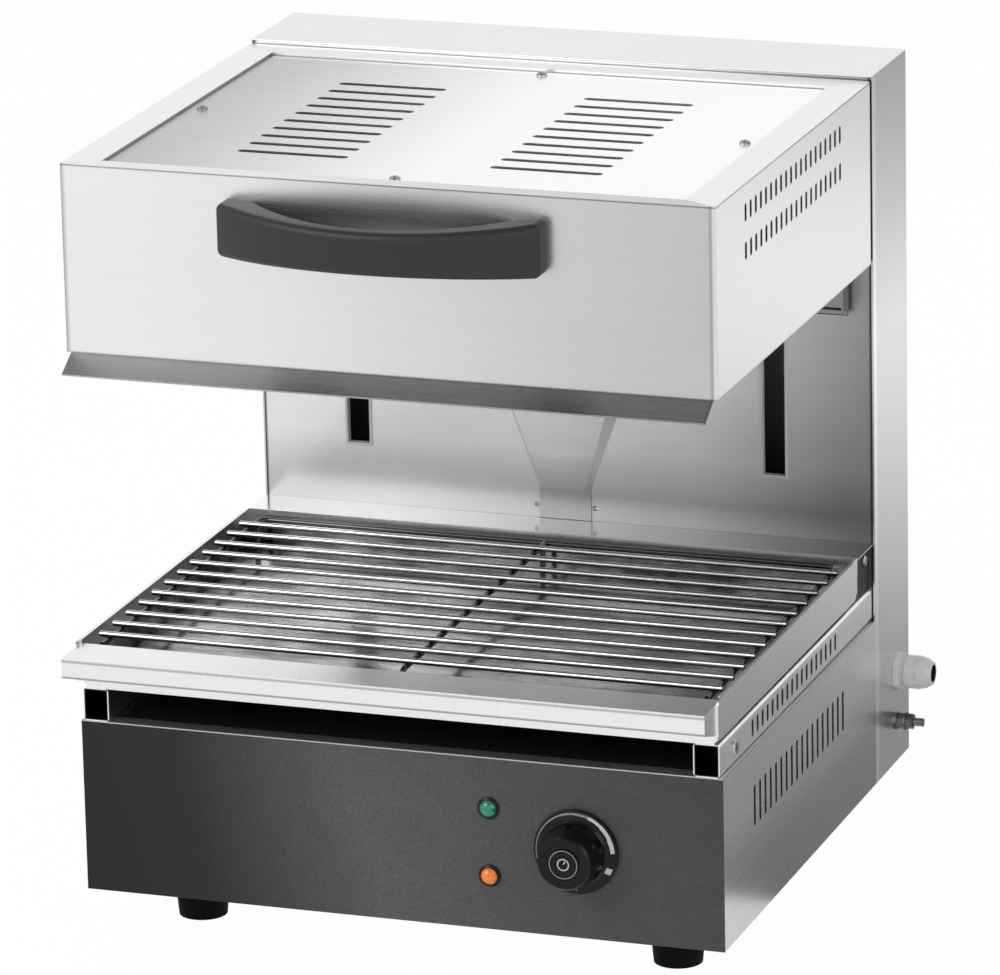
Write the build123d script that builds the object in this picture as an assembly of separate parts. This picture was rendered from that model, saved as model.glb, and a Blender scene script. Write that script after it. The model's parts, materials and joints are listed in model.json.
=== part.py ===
from build123d import *
import os

# Height-adjustable countertop grill: a base with a drip tray and wire grid, a rear column, and a
# heated hood that rides up and down the column. Millimetres, +Z up, +Y to the back.
# Everything is laid out about the grill's middle (x = 0), the front of its base (y = 0) and the
# table (z = 0). export_node moves it so that the origin is under the middle of the whole object.

# ---- driving dimensions -------------------------------------------------------------------------
WIDTH = 450.0                 # across the base, column and hood
FRONT_DEPTH = 350.0           # front of the base to the front of the column
COLUMN_DEPTH = 82.0
FOOT_HEIGHT = 36.0
BASE_HEIGHT = 120.0
COLUMN_HEIGHT = 507.0         # from the underside of the base
SHEET = 1.2                   # stainless sheet
FLANGE = 12.0                 # folded flanges of the casing
TOUCH = 0.3                   # gap between neighbouring pieces that are not fastened face to face
RUN_FIT = 0.05                # radial clearance of shafts, screws and bushes in their holes
THROUGH = 5.0                 # how far a cutter reaches past what it cuts

# feet
FOOT_INSET = 55.0             # foot centre inside the casing's side
FOOT_FRONT = 70.0             # front foot centre behind the base front
FOOT_BACK = 62.0              # rear foot centre ahead of the column back
FOOT_R_TOP = 20.0
FOOT_R_BOTTOM = 16.5
FOOT_RECESS_R = 8.0
FOOT_RECESS_DEPTH = 22.0
FOOT_BOLT_R = 3.0
FOOT_BOLT_HEAD_R = 5.5
FOOT_BOLT_HEAD = 3.5
FOOT_BOLT_PROUD = 6.0         # bolt end above the floor

# slotted tray rails on the base
RAIL_WIDTH = 18.0
RAIL_HEIGHT = 23.0
RAIL_WALL = 1.5
RAIL_INSET = 2.0              # rail face inside the base side
RAIL_SEAT = 25.0              # inward top flange of the base side
RAIL_CORNER_R = 2.5
RAIL_SCREW_Y = 31.5

# vent slots
SLOT_WIDTH = 4.5
RAIL_SLOTS = 18
RAIL_SLOT_Y = 72.5
RAIL_SLOT_PITCH = 11.1
RAIL_SLOT_LENGTH = 12.0
BASE_SLOTS = 18
BASE_SLOT_Y = 69.0
BASE_SLOT_PITCH = 11.9
BASE_SLOT_LENGTH = 28.5
BASE_SLOT_DROP = 41.0         # below the top of the base
HOOD_SLOTS = 20
HOOD_SLOT_Y = 63.5
HOOD_SLOT_PITCH = 11.1
HOOD_SLOT_LENGTH = 12.0
HOOD_SLOT_ROWS = (19.5, 45.0)  # below the top of the hood
TOP_SLOTS = 10
TOP_SLOT_Y = 69.0
TOP_SLOT_PITCH = 21.3
TOP_SLOT_LENGTH = 77.0
TOP_SLOT_WIDTH = 6.5
TOP_SLOT_X = 88.0
REAR_SLOTS = 12
REAR_SLOT_LENGTH = 60.0
REAR_SLOT_PITCH = 14.0
REAR_SLOT_X = 90.0
REAR_SLOT_TOP = 60.0          # uppermost rear vent below the top of the column

# controls on the front panel, heights above the underside of the base
LAMP_X = 63.0
LAMP_Z_GREEN = 84.8
LAMP_Z_ORANGE = 37.7
LAMP_BEZEL_R = 7.6
LAMP_BEZEL_DEPTH = 2.2
LAMP_LENS_R = 5.6
LAMP_LENS_SEAT = 1.6
LAMP_DOME = 3.2
LAMP_BARREL_R = 6.0
LAMP_BARREL_LENGTH = 26.0
KNOB_X = 124.0
KNOB_Z = 60.9
KNOB_SKIRT_R = 29.0
KNOB_SKIRT_EDGE = 2.2
KNOB_SKIRT_RISE = 2.2
KNOB_GRIP_R = 21.5
KNOB_GRIP_TOP_R = 18.5
KNOB_HEIGHT = 27.0
KNOB_EDGE = 1.5               # bevel around the foot and the top of the grip
KNOB_GAP = 1.0                # knob back to panel
KNOB_HOLLOW_R = 12.0
KNOB_HOLLOW_DEPTH = 4.0
KNOB_SCALLOPS = 6
KNOB_SCALLOP_R = 5.0
KNOB_SCALLOP_OUT = 3.1        # scallop centre outside the grip
KNOB_CAP_R = 10.2
KNOB_CAP_GROOVE = 0.8
KNOB_BORE_DEPTH = 15.0
SPINDLE_R = 3.0
NECK_R = 5.0
NUT_THICKNESS = 2.4
NUT_ACROSS_FLATS = 14.0
THERMOSTAT_SIZE = 44.0
THERMOSTAT_DEPTH = 32.0
THERMOSTAT_CORNER_R = 4.0
SPINDLE_DEPTH = 12.0          # how far the spindle reaches into the thermostat

# mains terminal block on the floor of the base
TERMINAL_INSET = 105.0        # left end of the block inside the casing's right side
TERMINAL_AHEAD = 50.0         # front of the block ahead of the column's front
TERMINAL_PITCH = 12.0
TERMINAL_POCKET = 8.4
TERMINAL_RIM = 6.0
TERMINAL_DEPTH = 24.0
TERMINAL_HEIGHT = 22.0
TERMINAL_POCKET_DEPTH = 11.0
TERMINAL_WAYS = 5

# cable gland and earth stud on the right side of the column
GLAND_BACK = 29.0             # ahead of the column's back
GLAND_Z = 66.5                # above the underside of the base
GLAND_THREAD_R = 8.0
GLAND_FLANGE_FLATS = 25.0
GLAND_FLANGE = 4.5
GLAND_COLLAR_R = 10.5
GLAND_COLLAR = 2.0
GLAND_DOME_R = 12.0
GLAND_DOME_FLATS = 22.4
GLAND_DOME = 20.0
GLAND_BEVEL = 1.5
GLAND_SHOULDER = 16.0         # where the dome starts to close in
GLAND_FACE_R = 8.0
GLAND_MOUTH_R = 6.2
GLAND_SEAL_R = 4.6
GLAND_SEAL_LENGTH = 18.0
GLAND_LOCKNUT = 4.0
GLAND_LOCKNUT_FLATS = 23.0
GLAND_TAIL = 10.0
STUD_BACK = 32.0              # ahead of the column's back
STUD_Z = 30.7
STUD_R = 3.0
STUD_REACH = 20.0
STUD_NUT = 5.0
STUD_NUT_FLATS = 10.0
STUD_WASHER_R = 6.5
STUD_WASHER = 1.4

# duct cover on the column
DUCT_TIP = 78.5               # above the top of the base
DUCT_HEIGHT = 91.5
DUCT_HALF_TIP = 19.0
DUCT_HALF_TOP = 53.0
DUCT_PROUD_TIP = 5.0
DUCT_PROUD_TOP = 14.0
DUCT_SIDE_SLOPE = 0.6         # sideways lean of the cover's flanks
RIVET_X = 21.5                # beside the strip below the tip
RIVET_RISE = 9.3              # above the shelf
RIVET_R = 1.2
RIVET_HEAD_R = 1.8
RIVET_HEAD = 0.8
RIVET_LENGTH = 3.0
DUCT_CLEARANCE = 7.0

# column slots, lift guides and carriage
LIFT_TRAVEL = 120.0
ARM_X = 153.0                 # middle of the column slots and of the lift arms
ARM_PLATE = 3.0
ARM_FLANGE = 26.0
COLUMN_SLOT_WIDTH = 20.0
COLUMN_SLOT_SPARE = 26.0      # slot above the carriers
LINER_WALL = 2.0
LINER_PROUD = 0.8
LINER_DEPTH = 5.0
LINER_END_GAP = 0.5           # under the arms at the bottom of their travel
GUIDE_Y = 35.0                # behind the front of the column
GUIDE_R = 6.0
GUIDE_BLOCK_WIDTH = 28.0
GUIDE_BLOCK_HEIGHT = 24.0
GUIDE_FOOT_GAP = 4.0          # lower guide block above the base
CARRIER_WIDTH = 46.0
CARRIER_HEIGHT = 186.0
CARRIER_DROP = 40.0           # below the top of the hood
CARRIER_EDGE = 3.0
BUSH_R = 8.0
BUSH_LENGTH = 30.0
CROSS_PLATE_HEIGHT = 60.0
SPRING_X = 100.0
SPRING_R = 10.0
SPRING_WALL = 3.3
SPRING_ROD_R = 4.0
SPRING_STUB_R = 5.0
SPRING_STUB = 21.6            # lower fixing stub
SPRING_ROD_IN = 60.0          # rod held in the cylinder when the hood is up
SPRING_SPARE = 10.0           # room under the rod, and under the lug, when the hood is down
SPRING_LUG = 12.0
REAR_SCREW_INSET = 8.0
REAR_SCREW_MARGIN = 30.0

# hood
HOOD_GAP = 5.0                # hood back to column
HOOD_HEIGHT = 128.0
HOOD_BELOW_COLUMN = 3.0       # hood top below the column top
RIM_FRONT = 13.5
RIM_SIDE = 24.0
RIM_REAR = 18.5
COVER_RECESS = 2.0            # cover face below the rim
LEDGE = 15.0
COVER_SCREW_INSET = 9.5
LIP_INSET = 3.0
LIP_FORWARD = 17.6
LIP_DROP = 10.5
REAR_PANEL_INSET = 16.0
REAR_PANEL_DROP = 36.5        # rear panel below the hood
REAR_HEM = 4.5
REAR_RIM_GAP = 2.0            # rear rim to column
HANDLE_HALF = 111.0
HANDLE_REACH = 50.0
HANDLE_END = 14.0             # depth of the handle's ends
HANDLE_HEIGHT = 29.0          # at the middle
HANDLE_END_HEIGHT = 37.0
HANDLE_BELOW_TOP = 34.0       # handle middle below the top of the hood
HANDLE_GAP = 35.0             # finger gap at the middle
HANDLE_FOOT = 25.0
HANDLE_ROUND = 5.0
HANDLE_SCREW_R = 2.5
HANDLE_SCREW_DEPTH = 8.0
REFLECTOR_INSET = 19.0        # inside the hood's side
REFLECTOR_FRONT = 14.0
REFLECTOR_SHAFT = 27.0        # reflector back to hood back
REFLECTOR_TOP = 58.0          # above the underside of the hood
REFLECTOR_SKIRT = 48.0
REFLECTOR_FOLD_R = 6.0
BLANKET_THICKNESS = 28.0
ELEMENT_R = 4.0
ELEMENT_Z = 32.0              # above the underside of the hood
ELEMENT_PITCH = 34.0
ELEMENT_RUNS = 4
ELEMENT_FRONT_Y = 45.0
ELEMENT_REAR_Y = 183.0
ELEMENT_TURN_INSET = 36.0     # start of the turns inside the reflector's side
ELEMENT_TAIL = 12.0           # cold end beyond the reflector
HANGER_X = 105.0
HANGER_PLATE = 1.5
HANGER_MARGIN = 8.0
HANGER_UNDER = 2.0            # strip below the elements

# drip tray
TRAY_REAR_GAP = 38.0          # tray back to column
TRAY_FLOOR = 9.0              # above the rails
TRAY_WALL = 24.5              # above the tray's floor
TRAY_APRON_DROP = 3.5         # below the tray's floor
TRAY_APRON_FRONT = 8.0        # side wall ahead of the base front
TRAY_APRON_REAR = 6.0         # end of the outer wall ahead of the tray's back
TRAY_APRON_ROUND = 6.0
TRAY_LIP = 33.0
TRAY_LIP_STEP = 2.8           # lip below the walls
TRAY_LIP_FACE = 14.0
TRAY_CHAMFER = 5.5
RUNNER_INSET = 2.0            # runner outside the rail's inner face
RUNNER_WIDTH = 12.5

# shelf between the tray and the column
SHELF_GAP = 1.0               # behind the tray
SHELF_STEP = 1.5              # below the tops of the tray walls
SHELF_CHEEK_INSET = 4.0       # bracket's cheeks inside the casing's side
SHELF_SCREW_AHEAD = 13.6      # ahead of the column
SHELF_SCREW_DROP = 8.2        # below the top of the shelf
SHELF_SCREW_LENGTH = 3.2

# wire grid
WIRE_R = 2.0
GRID_WIRES = 12
GRID_FIRST_Y = 23.0
GRID_PITCH = 23.6
GRID_SUNK = 0.5               # grid below the top of the tray walls
GRID_SIDE_GAP = 6.5           # wire ends to the casing's side
GRID_OVERHANG = 6.5           # wire ends past the outer cross wires
GRID_FRAME_MARGIN = 11.5      # front legs ahead of the first wire
GRID_REAR_WIRE = 5.3          # rear wire ahead of the tray's back wall
GRID_BEND_R = 7.0
WELD = 0.7                    # sinking of the long wires into the cross wires

# pan-head screws
SCREW_R = 1.75
SCREW_HEAD_R = 3.8
SCREW_HEAD = 1.9
SCREW_LENGTH = 9.0
RAIL_SCREW_HEAD_R = 5.2
CROSS_SLOT = 0.9
CROSS_REACH = 2.3
CROSS_DEPTH = 0.9

# ---- levels and faces worked out from them -------------------------------------------------------
half = WIDTH / 2
inner = half - SHEET
base_z = FOOT_HEIGHT
base_top = base_z + BASE_HEIGHT
floor_top = base_z + 2 * SHEET
column_y = FRONT_DEPTH
back_y = column_y + COLUMN_DEPTH
column_top = base_z + COLUMN_HEIGHT

rail_top = base_top + RAIL_HEIGHT
rail_outer = half - RAIL_INSET
rail_inner = rail_outer - RAIL_WIDTH
tray_back = column_y - TRAY_REAR_GAP
tray_floor = rail_top + TRAY_FLOOR
tray_top = tray_floor + TRAY_WALL
lip_top = tray_top - TRAY_LIP_STEP
shelf_front = tray_back + SHELF_GAP
shelf_z = tray_top - SHELF_STEP
shelf_side = half - SHELF_CHEEK_INSET

hood_back = column_y - HOOD_GAP
hood_top = column_top - HOOD_BELOW_COLUMN
hood_z = hood_top - HOOD_HEIGHT
arm_z = hood_z - REAR_PANEL_DROP
duct_tip_z = base_top + DUCT_TIP
duct_top_z = duct_tip_z + DUCT_HEIGHT
handle_z = hood_top - HANDLE_BELOW_TOP
reflector_half = half - REFLECTOR_INSET
reflector_back = hood_back - REFLECTOR_SHAFT
reflector_z = hood_z + REFLECTOR_TOP
element_z = hood_z + ELEMENT_Z

arm_inner = ARM_X - ARM_PLATE / 2
guide_x = ARM_X + ARM_PLATE / 2 + CARRIER_WIDTH / 2
guide_axis_y = column_y + GUIDE_Y
guide_bottom = base_top + GUIDE_FOOT_GAP
guide_top = column_top - SHEET - TOUCH
arm_back = guide_axis_y + CARRIER_WIDTH / 2
carrier_top = hood_top - CARRIER_DROP
carrier_z = carrier_top - CARRIER_HEIGHT
slot_floor = arm_z - LIFT_TRAVEL - LINER_END_GAP - LINER_WALL
slot_top = carrier_top + COLUMN_SLOT_SPARE
spring_bottom = floor_top + SPRING_STUB
spring_length = SPRING_ROD_IN + LIFT_TRAVEL + SPRING_SPARE
spring_top = spring_bottom + spring_length
rod_tip = spring_top - SPRING_ROD_IN
lug_z = spring_top + LIFT_TRAVEL + SPRING_SPARE

grid_half = half - GRID_SIDE_GAP
grid_frame_x = grid_half - GRID_OVERHANG
gland_end = half + GLAND_FLANGE + GLAND_COLLAR + GLAND_DOME

# The origin lies on the table under the middle of the whole object, gland and handle included.
ORIGIN_X = (gland_end - inner - SCREW_HEAD) / 2
ORIGIN_Y = (back_y + SCREW_HEAD - HANDLE_REACH) / 2

LEFT = Vector(-1, 0, 0)
RIGHT = Vector(1, 0, 0)
FRONTWARD = Vector(0, -1, 0)
BACKWARD = Vector(0, 1, 0)
UP = Vector(0, 0, 1)


# ---- helpers -------------------------------------------------------------------------------------
def block(x0, x1, y0, y1, z0, z1):
    """A box between two opposite corners."""
    size = Box(x1 - x0, y1 - y0, z1 - z0, align=(Align.MIN, Align.MIN, Align.MIN))
    return Pos(x0, y0, z0) * size


def rod(radius, length, at, axis):
    """A round bar that starts at a point and runs along an axis."""
    bar = Cylinder(radius, length, align=(Align.CENTER, Align.CENTER, Align.MIN))
    return Plane(origin=at, z_dir=axis) * bar


def hexagon(flats, length, at, axis):
    """A hexagonal bar, given across its flats."""
    face = RegularPolygon(flats / 2, 6, major_radius=False)
    return Plane(origin=at, z_dir=axis) * extrude(face, length)


def turned(points, at, axis):
    """A solid turned about an axis from an outline of (radius, distance along the axis)."""
    outline = make_face(Plane.XZ * Polyline(*points, close=True))
    return Plane(origin=at, z_dir=axis) * revolve(outline, Axis.Z)


def prism_x(points, x0, x1):
    """A bar along X whose section is an outline of (y, z)."""
    section = make_face(Plane.YZ * Polyline(*points, close=True))
    return Pos(x0, 0, 0) * extrude(section, x1 - x0, dir=(1, 0, 0))


def prism_z(points, z0, z1):
    """A plate with an outline of (x, y)."""
    return Pos(0, 0, z0) * extrude(make_face(Polyline(*points, close=True)), z1 - z0)


def on_left(shape):
    """The same piece on the other side of the middle."""
    return mirror(shape, about=Plane.YZ)


def slot_row(count, first, pitch, place):
    """Cutters for a row of equal slots. place(y) puts one at its distance along the row."""
    return [place(first + i * pitch) for i in range(count)]


def side_slot(x, y, z, length):
    """Cutter for an upright slot through a wall that faces X."""
    face = Plane(origin=(x, y, z), x_dir=(0, 0, 1), z_dir=(1, 0, 0))
    return face * extrude(SlotOverall(length, SLOT_WIDTH), 2 * SHEET, both=True)


def flat_slot(x, y, z, length, width):
    """Cutter for a slot along X through a level sheet."""
    return Pos(x, y, z) * extrude(SlotOverall(length, width), 2 * SHEET, both=True)


def cross_recess(at, axis):
    """Cutter for the cross in a screw head whose top is at a point."""
    bar = Box(2 * CROSS_REACH, CROSS_SLOT, 2 * CROSS_DEPTH)
    return Plane(origin=at, z_dir=axis) * (bar + Rot(0, 0, 90) * bar)


def pan_screw(seat, axis, head_r=SCREW_HEAD_R, length=SCREW_LENGTH):
    """A pan-head screw: seat is the middle of the face under its head, axis points out of the head."""
    seat = Vector(*seat)
    shank = rod(SCREW_R, length, seat - axis * length, axis)
    edge = SCREW_HEAD / 2
    head = turned(
        [(0, 0), (head_r, 0), (head_r, edge), (head_r - edge, SCREW_HEAD), (0, SCREW_HEAD)], seat, axis
    )
    return head + shank - cross_recess(seat + axis * SCREW_HEAD, axis)


def rivet(seat):
    """A small rivet through the column's front panel."""
    seat = Vector(*seat)
    head = turned(
        [(0, 0), (RIVET_HEAD_R, 0), (RIVET_HEAD_R / 2, RIVET_HEAD), (0, RIVET_HEAD)], seat, FRONTWARD
    )
    return head + rod(RIVET_R, RIVET_LENGTH, seat, BACKWARD)


def screw_hole(seat, axis):
    """Cutter for the hole that a screw's shank passes through."""
    seat = Vector(*seat)
    return rod(SCREW_R + RUN_FIT, 2 * SCREW_LENGTH, seat - axis * SCREW_LENGTH, axis)


def solids_of(shapes):
    """A group of separate solids for one node."""
    return Compound(children=[solid for shape in shapes for solid in shape.solids()])


def export_node(name, shape):
    """Write one piece, moved so that the origin is under the middle of the object."""
    moved = Pos(-ORIGIN_X, -ORIGIN_Y, 0) * shape
    export_step(moved, os.path.join("parts", name + ".step"))


# ---- base ----------------------------------------------------------------------------------------
lamp_places = {
    "green": Vector(LAMP_X, 0, base_z + LAMP_Z_GREEN),
    "orange": Vector(LAMP_X, 0, base_z + LAMP_Z_ORANGE),
}
knob_place = Vector(KNOB_X, 0, base_z + KNOB_Z)
foot_places = {
    "front_left": (FOOT_INSET - half, FOOT_FRONT),
    "front_right": (half - FOOT_INSET, FOOT_FRONT),
    "rear_left": (FOOT_INSET - half, back_y - FOOT_BACK),
    "rear_right": (half - FOOT_INSET, back_y - FOOT_BACK),
}
rail_screw_seat = (rail_outer, RAIL_SCREW_Y, base_top + RAIL_HEIGHT / 2)


def base_front_panel():
    """Dark front panel with holes for two lamps and the thermostat, folded back at top and bottom."""
    panel = block(-half, half, 0, SHEET, base_z, base_top)
    panel += block(-inner, inner, SHEET, FLANGE, base_top - SHEET, base_top)
    panel += block(-inner, inner, SHEET, FLANGE, base_z, base_z + SHEET)
    for place in lamp_places.values():
        panel -= rod(LAMP_BARREL_R + RUN_FIT, 4 * SHEET, place - BACKWARD * SHEET, BACKWARD)
    panel -= rod(NECK_R + RUN_FIT, 4 * SHEET, knob_place - BACKWARD * SHEET, BACKWARD)
    return panel


def base_side():
    """Right side of the base: a slotted sheet with a wide top flange that carries the tray rail."""
    side = block(inner, half, SHEET, column_y, base_z, base_top)
    side += block(half - RAIL_SEAT, inner, FLANGE, column_y, base_top - SHEET, base_top)
    side += block(half - FLANGE, inner, FLANGE, column_y, base_z, base_z + SHEET)
    slots = slot_row(
        BASE_SLOTS,
        BASE_SLOT_Y,
        BASE_SLOT_PITCH,
        lambda y: side_slot(inner + SHEET / 2, y, base_top - BASE_SLOT_DROP, BASE_SLOT_LENGTH),
    )
    return side - slots


def base_floor():
    """Floor of the base and of the column, which the feet bolt to."""
    floor = block(-inner, inner, SHEET, back_y - SHEET, base_z + SHEET, floor_top)
    holes = [rod(FOOT_BOLT_R + RUN_FIT, BASE_HEIGHT, Vector(x, y, 0), UP) for x, y in foot_places.values()]
    return floor - holes


def base_deck():
    """Dark deck between the rails, under the drip tray."""
    edge = half - RAIL_SEAT
    return block(-edge, edge, FLANGE, column_y, base_top - SHEET, base_top)


shelf_screw_seat = (shelf_side, column_y - SHELF_SCREW_AHEAD, shelf_z - SHELF_SCREW_DROP)


def shelf_bracket():
    """Dark bracket on the rails that carries the rear shelf: a cross wall and a cheek at each end."""
    under = shelf_z - SHEET
    wall = block(-shelf_side, shelf_side, shelf_front, shelf_front + SHEET, rail_top, under)
    cheek = block(shelf_side - SHEET, shelf_side, shelf_front, column_y, rail_top, under)
    cheek -= screw_hole(shelf_screw_seat, RIGHT)
    return wall + cheek + on_left(cheek)


def rear_shelf():
    """Bright plate between the tray and the column, a little below the tray's walls."""
    return block(-inner, inner, shelf_front, column_y, shelf_z - SHEET, shelf_z)


def rail():
    """Right tray rail: an open-ended box section with slots in its outer wall."""
    outer = block(rail_inner, rail_outer, 0, column_y, base_top, rail_top)
    outer = fillet(outer.edges().filter_by(Axis.Y), RAIL_CORNER_R)
    bore = block(
        rail_inner + RAIL_WALL,
        rail_outer - RAIL_WALL,
        -THROUGH,
        column_y + THROUGH,
        base_top + RAIL_WALL,
        rail_top - RAIL_WALL,
    )
    bore = fillet(bore.edges().filter_by(Axis.Y), RAIL_CORNER_R - RAIL_WALL)
    slots = slot_row(
        RAIL_SLOTS,
        RAIL_SLOT_Y,
        RAIL_SLOT_PITCH,
        lambda y: side_slot(rail_outer, y, base_top + RAIL_HEIGHT / 2, RAIL_SLOT_LENGTH),
    )
    return outer - bore - slots - screw_hole(rail_screw_seat, RIGHT)


def foot(x, y):
    """Tapered rubber foot under the floor, with a recess for its bolt."""
    seat = base_z + SHEET
    body = turned([(0, 0), (FOOT_R_BOTTOM, 0), (FOOT_R_TOP, seat), (0, seat)], Vector(x, y, 0), UP)
    body -= rod(FOOT_RECESS_R, FOOT_RECESS_DEPTH, Vector(x, y, 0), UP)
    return body - rod(FOOT_BOLT_R + RUN_FIT, seat, Vector(x, y, 0), UP)


def foot_bolt(x, y):
    """Bolt from the foot's recess up through the floor."""
    seat = Vector(x, y, FOOT_RECESS_DEPTH)
    head = rod(FOOT_BOLT_HEAD_R, FOOT_BOLT_HEAD, seat - UP * FOOT_BOLT_HEAD, UP)
    return head + rod(FOOT_BOLT_R, floor_top + FOOT_BOLT_PROUD - FOOT_RECESS_DEPTH, seat, UP)


# ---- controls ------------------------------------------------------------------------------------
def lamp_bezel(place):
    """Pilot lamp holder: a ring on the panel, a barrel behind it and a pocket for the lens."""
    bezel = turned(
        [
            (0, 0),
            (LAMP_BEZEL_R, 0),
            (LAMP_BEZEL_R, LAMP_BEZEL_DEPTH / 2),
            (LAMP_LENS_R + RUN_FIT, LAMP_BEZEL_DEPTH),
            (LAMP_LENS_R + RUN_FIT, LAMP_BEZEL_DEPTH - LAMP_LENS_SEAT),
            (0, LAMP_BEZEL_DEPTH - LAMP_LENS_SEAT),
        ],
        place,
        FRONTWARD,
    )
    return bezel + rod(LAMP_BARREL_R, LAMP_BARREL_LENGTH, place, BACKWARD)


def lamp_lens(place):
    """Domed lens seated in its holder."""
    seat = place + FRONTWARD * (LAMP_BEZEL_DEPTH - LAMP_LENS_SEAT)
    lens = rod(LAMP_LENS_R, LAMP_LENS_SEAT, seat, FRONTWARD)
    ball_r = (LAMP_LENS_R**2 + LAMP_DOME**2) / (2 * LAMP_DOME)
    rim = seat + FRONTWARD * LAMP_LENS_SEAT
    ball = Pos(rim + FRONTWARD * (LAMP_DOME - ball_r)) * Sphere(ball_r)
    return lens + (ball & rod(LAMP_LENS_R, LAMP_DOME, rim, FRONTWARD))


def control_knob():
    """Thermostat knob: a thin skirt, a scalloped grip and a ringed cap."""
    back = knob_place + FRONTWARD * KNOB_GAP
    skirt_top = KNOB_SKIRT_EDGE + KNOB_SKIRT_RISE
    knob = turned(
        [
            (0, 0),
            (KNOB_SKIRT_R, 0),
            (KNOB_SKIRT_R, KNOB_SKIRT_EDGE),
            (KNOB_GRIP_R + KNOB_EDGE, skirt_top),
            (KNOB_GRIP_R, skirt_top + KNOB_EDGE),
            (KNOB_GRIP_TOP_R, KNOB_HEIGHT - KNOB_EDGE),
            (KNOB_GRIP_TOP_R - KNOB_EDGE, KNOB_HEIGHT),
            (KNOB_CAP_R + KNOB_CAP_GROOVE, KNOB_HEIGHT),
            (KNOB_CAP_R + KNOB_CAP_GROOVE, KNOB_HEIGHT - KNOB_CAP_GROOVE),
            (KNOB_CAP_R, KNOB_HEIGHT - KNOB_CAP_GROOVE),
            (KNOB_CAP_R, KNOB_HEIGHT + KNOB_CAP_GROOVE),
            (0, KNOB_HEIGHT + KNOB_CAP_GROOVE),
        ],
        back,
        FRONTWARD,
    )
    ring = PolarLocations(KNOB_GRIP_R + KNOB_SCALLOP_OUT, KNOB_SCALLOPS)
    scallops = [spot * Cylinder(KNOB_SCALLOP_R, 2 * KNOB_HEIGHT) for spot in ring]
    start = back + FRONTWARD * (skirt_top + KNOB_EDGE + KNOB_HEIGHT)
    knob -= [Plane(origin=start, z_dir=FRONTWARD) * scallop for scallop in scallops]
    knob -= rod(KNOB_HOLLOW_R, KNOB_HOLLOW_DEPTH, back, FRONTWARD)
    return knob - rod(SPINDLE_R + RUN_FIT, KNOB_BORE_DEPTH, back, FRONTWARD)


def knob_spindle():
    """Spindle between the knob and the thermostat, turning in the thermostat's neck."""
    tip = knob_place + FRONTWARD * (KNOB_GAP + KNOB_BORE_DEPTH - TOUCH)
    return rod(SPINDLE_R, KNOB_GAP + KNOB_BORE_DEPTH - TOUCH + SHEET + SPINDLE_DEPTH, tip, BACKWARD)


def thermostat_body():
    """Thermostat behind the panel, with its threaded neck in the panel's hole."""
    x, z = knob_place.X, knob_place.Z
    side = THERMOSTAT_SIZE / 2
    body = block(x - side, x + side, SHEET, SHEET + THERMOSTAT_DEPTH, z - side, z + side)
    body = fillet(body.edges().filter_by(Axis.Y), THERMOSTAT_CORNER_R)
    body += rod(NECK_R, SHEET + NUT_THICKNESS, knob_place + FRONTWARD * NUT_THICKNESS, BACKWARD)
    bore = SHEET + NUT_THICKNESS + SPINDLE_DEPTH + TOUCH
    return body - rod(SPINDLE_R + RUN_FIT, bore, knob_place + FRONTWARD * NUT_THICKNESS, BACKWARD)


def thermostat_nut():
    """Nut that holds the thermostat's neck, hidden in the hollow of the knob."""
    nut = hexagon(NUT_ACROSS_FLATS, NUT_THICKNESS, knob_place, FRONTWARD)
    return nut - rod(NECK_R + RUN_FIT, NUT_THICKNESS, knob_place, FRONTWARD)


def terminal_block():
    """Mains terminal block with a pocket for each way."""
    top = floor_top + TERMINAL_HEIGHT
    left = half - TERMINAL_INSET
    front = column_y - TERMINAL_AHEAD
    rear = front + TERMINAL_DEPTH
    length = TERMINAL_WAYS * TERMINAL_PITCH
    body = block(left, left + length, front, rear, floor_top, top)
    for way in range(TERMINAL_WAYS):
        x = left + (way + 0.5) * TERMINAL_PITCH
        body -= block(
            x - TERMINAL_POCKET / 2,
            x + TERMINAL_POCKET / 2,
            front + TERMINAL_RIM,
            rear - TERMINAL_RIM,
            top - TERMINAL_POCKET_DEPTH,
            top + THROUGH,
        )
    return body


# ---- cable gland and earth stud ------------------------------------------------------------------
gland_place = Vector(half, back_y - GLAND_BACK, base_z + GLAND_Z)
stud_place = Vector(half, back_y - STUD_BACK, base_z + STUD_Z)


def gland_body():
    """Gland body: hexagon outside the wall, threaded tail through it and a collar for the dome nut."""
    tail = SHEET + GLAND_TAIL
    body = hexagon(GLAND_FLANGE_FLATS, GLAND_FLANGE, gland_place, RIGHT)
    body += rod(GLAND_THREAD_R, tail, gland_place + LEFT * tail, RIGHT)
    body += rod(GLAND_COLLAR_R, GLAND_COLLAR, gland_place + RIGHT * GLAND_FLANGE, RIGHT)
    bore = tail + GLAND_FLANGE + GLAND_COLLAR
    return body - rod(GLAND_MOUTH_R, bore, gland_place + LEFT * tail, RIGHT)


def gland_dome_nut():
    """Six-sided dome nut that squeezes the seal on the cable."""
    start = gland_place + RIGHT * (GLAND_FLANGE + GLAND_COLLAR)
    nut = turned(
        [
            (GLAND_MOUTH_R, 0),
            (GLAND_DOME_R - GLAND_BEVEL, 0),
            (GLAND_DOME_R, GLAND_BEVEL),
            (GLAND_DOME_R, GLAND_DOME / 2),
            (GLAND_DOME_R - GLAND_BEVEL, GLAND_SHOULDER),
            (GLAND_FACE_R, GLAND_DOME),
            (GLAND_MOUTH_R, GLAND_DOME),
        ],
        start,
        RIGHT,
    )
    flats = hexagon(GLAND_DOME_FLATS, GLAND_DOME / 2, start, RIGHT)
    dome = rod(GLAND_DOME_R, GLAND_DOME / 2, start + RIGHT * (GLAND_DOME / 2), RIGHT)
    return nut & (flats + dome)


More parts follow.
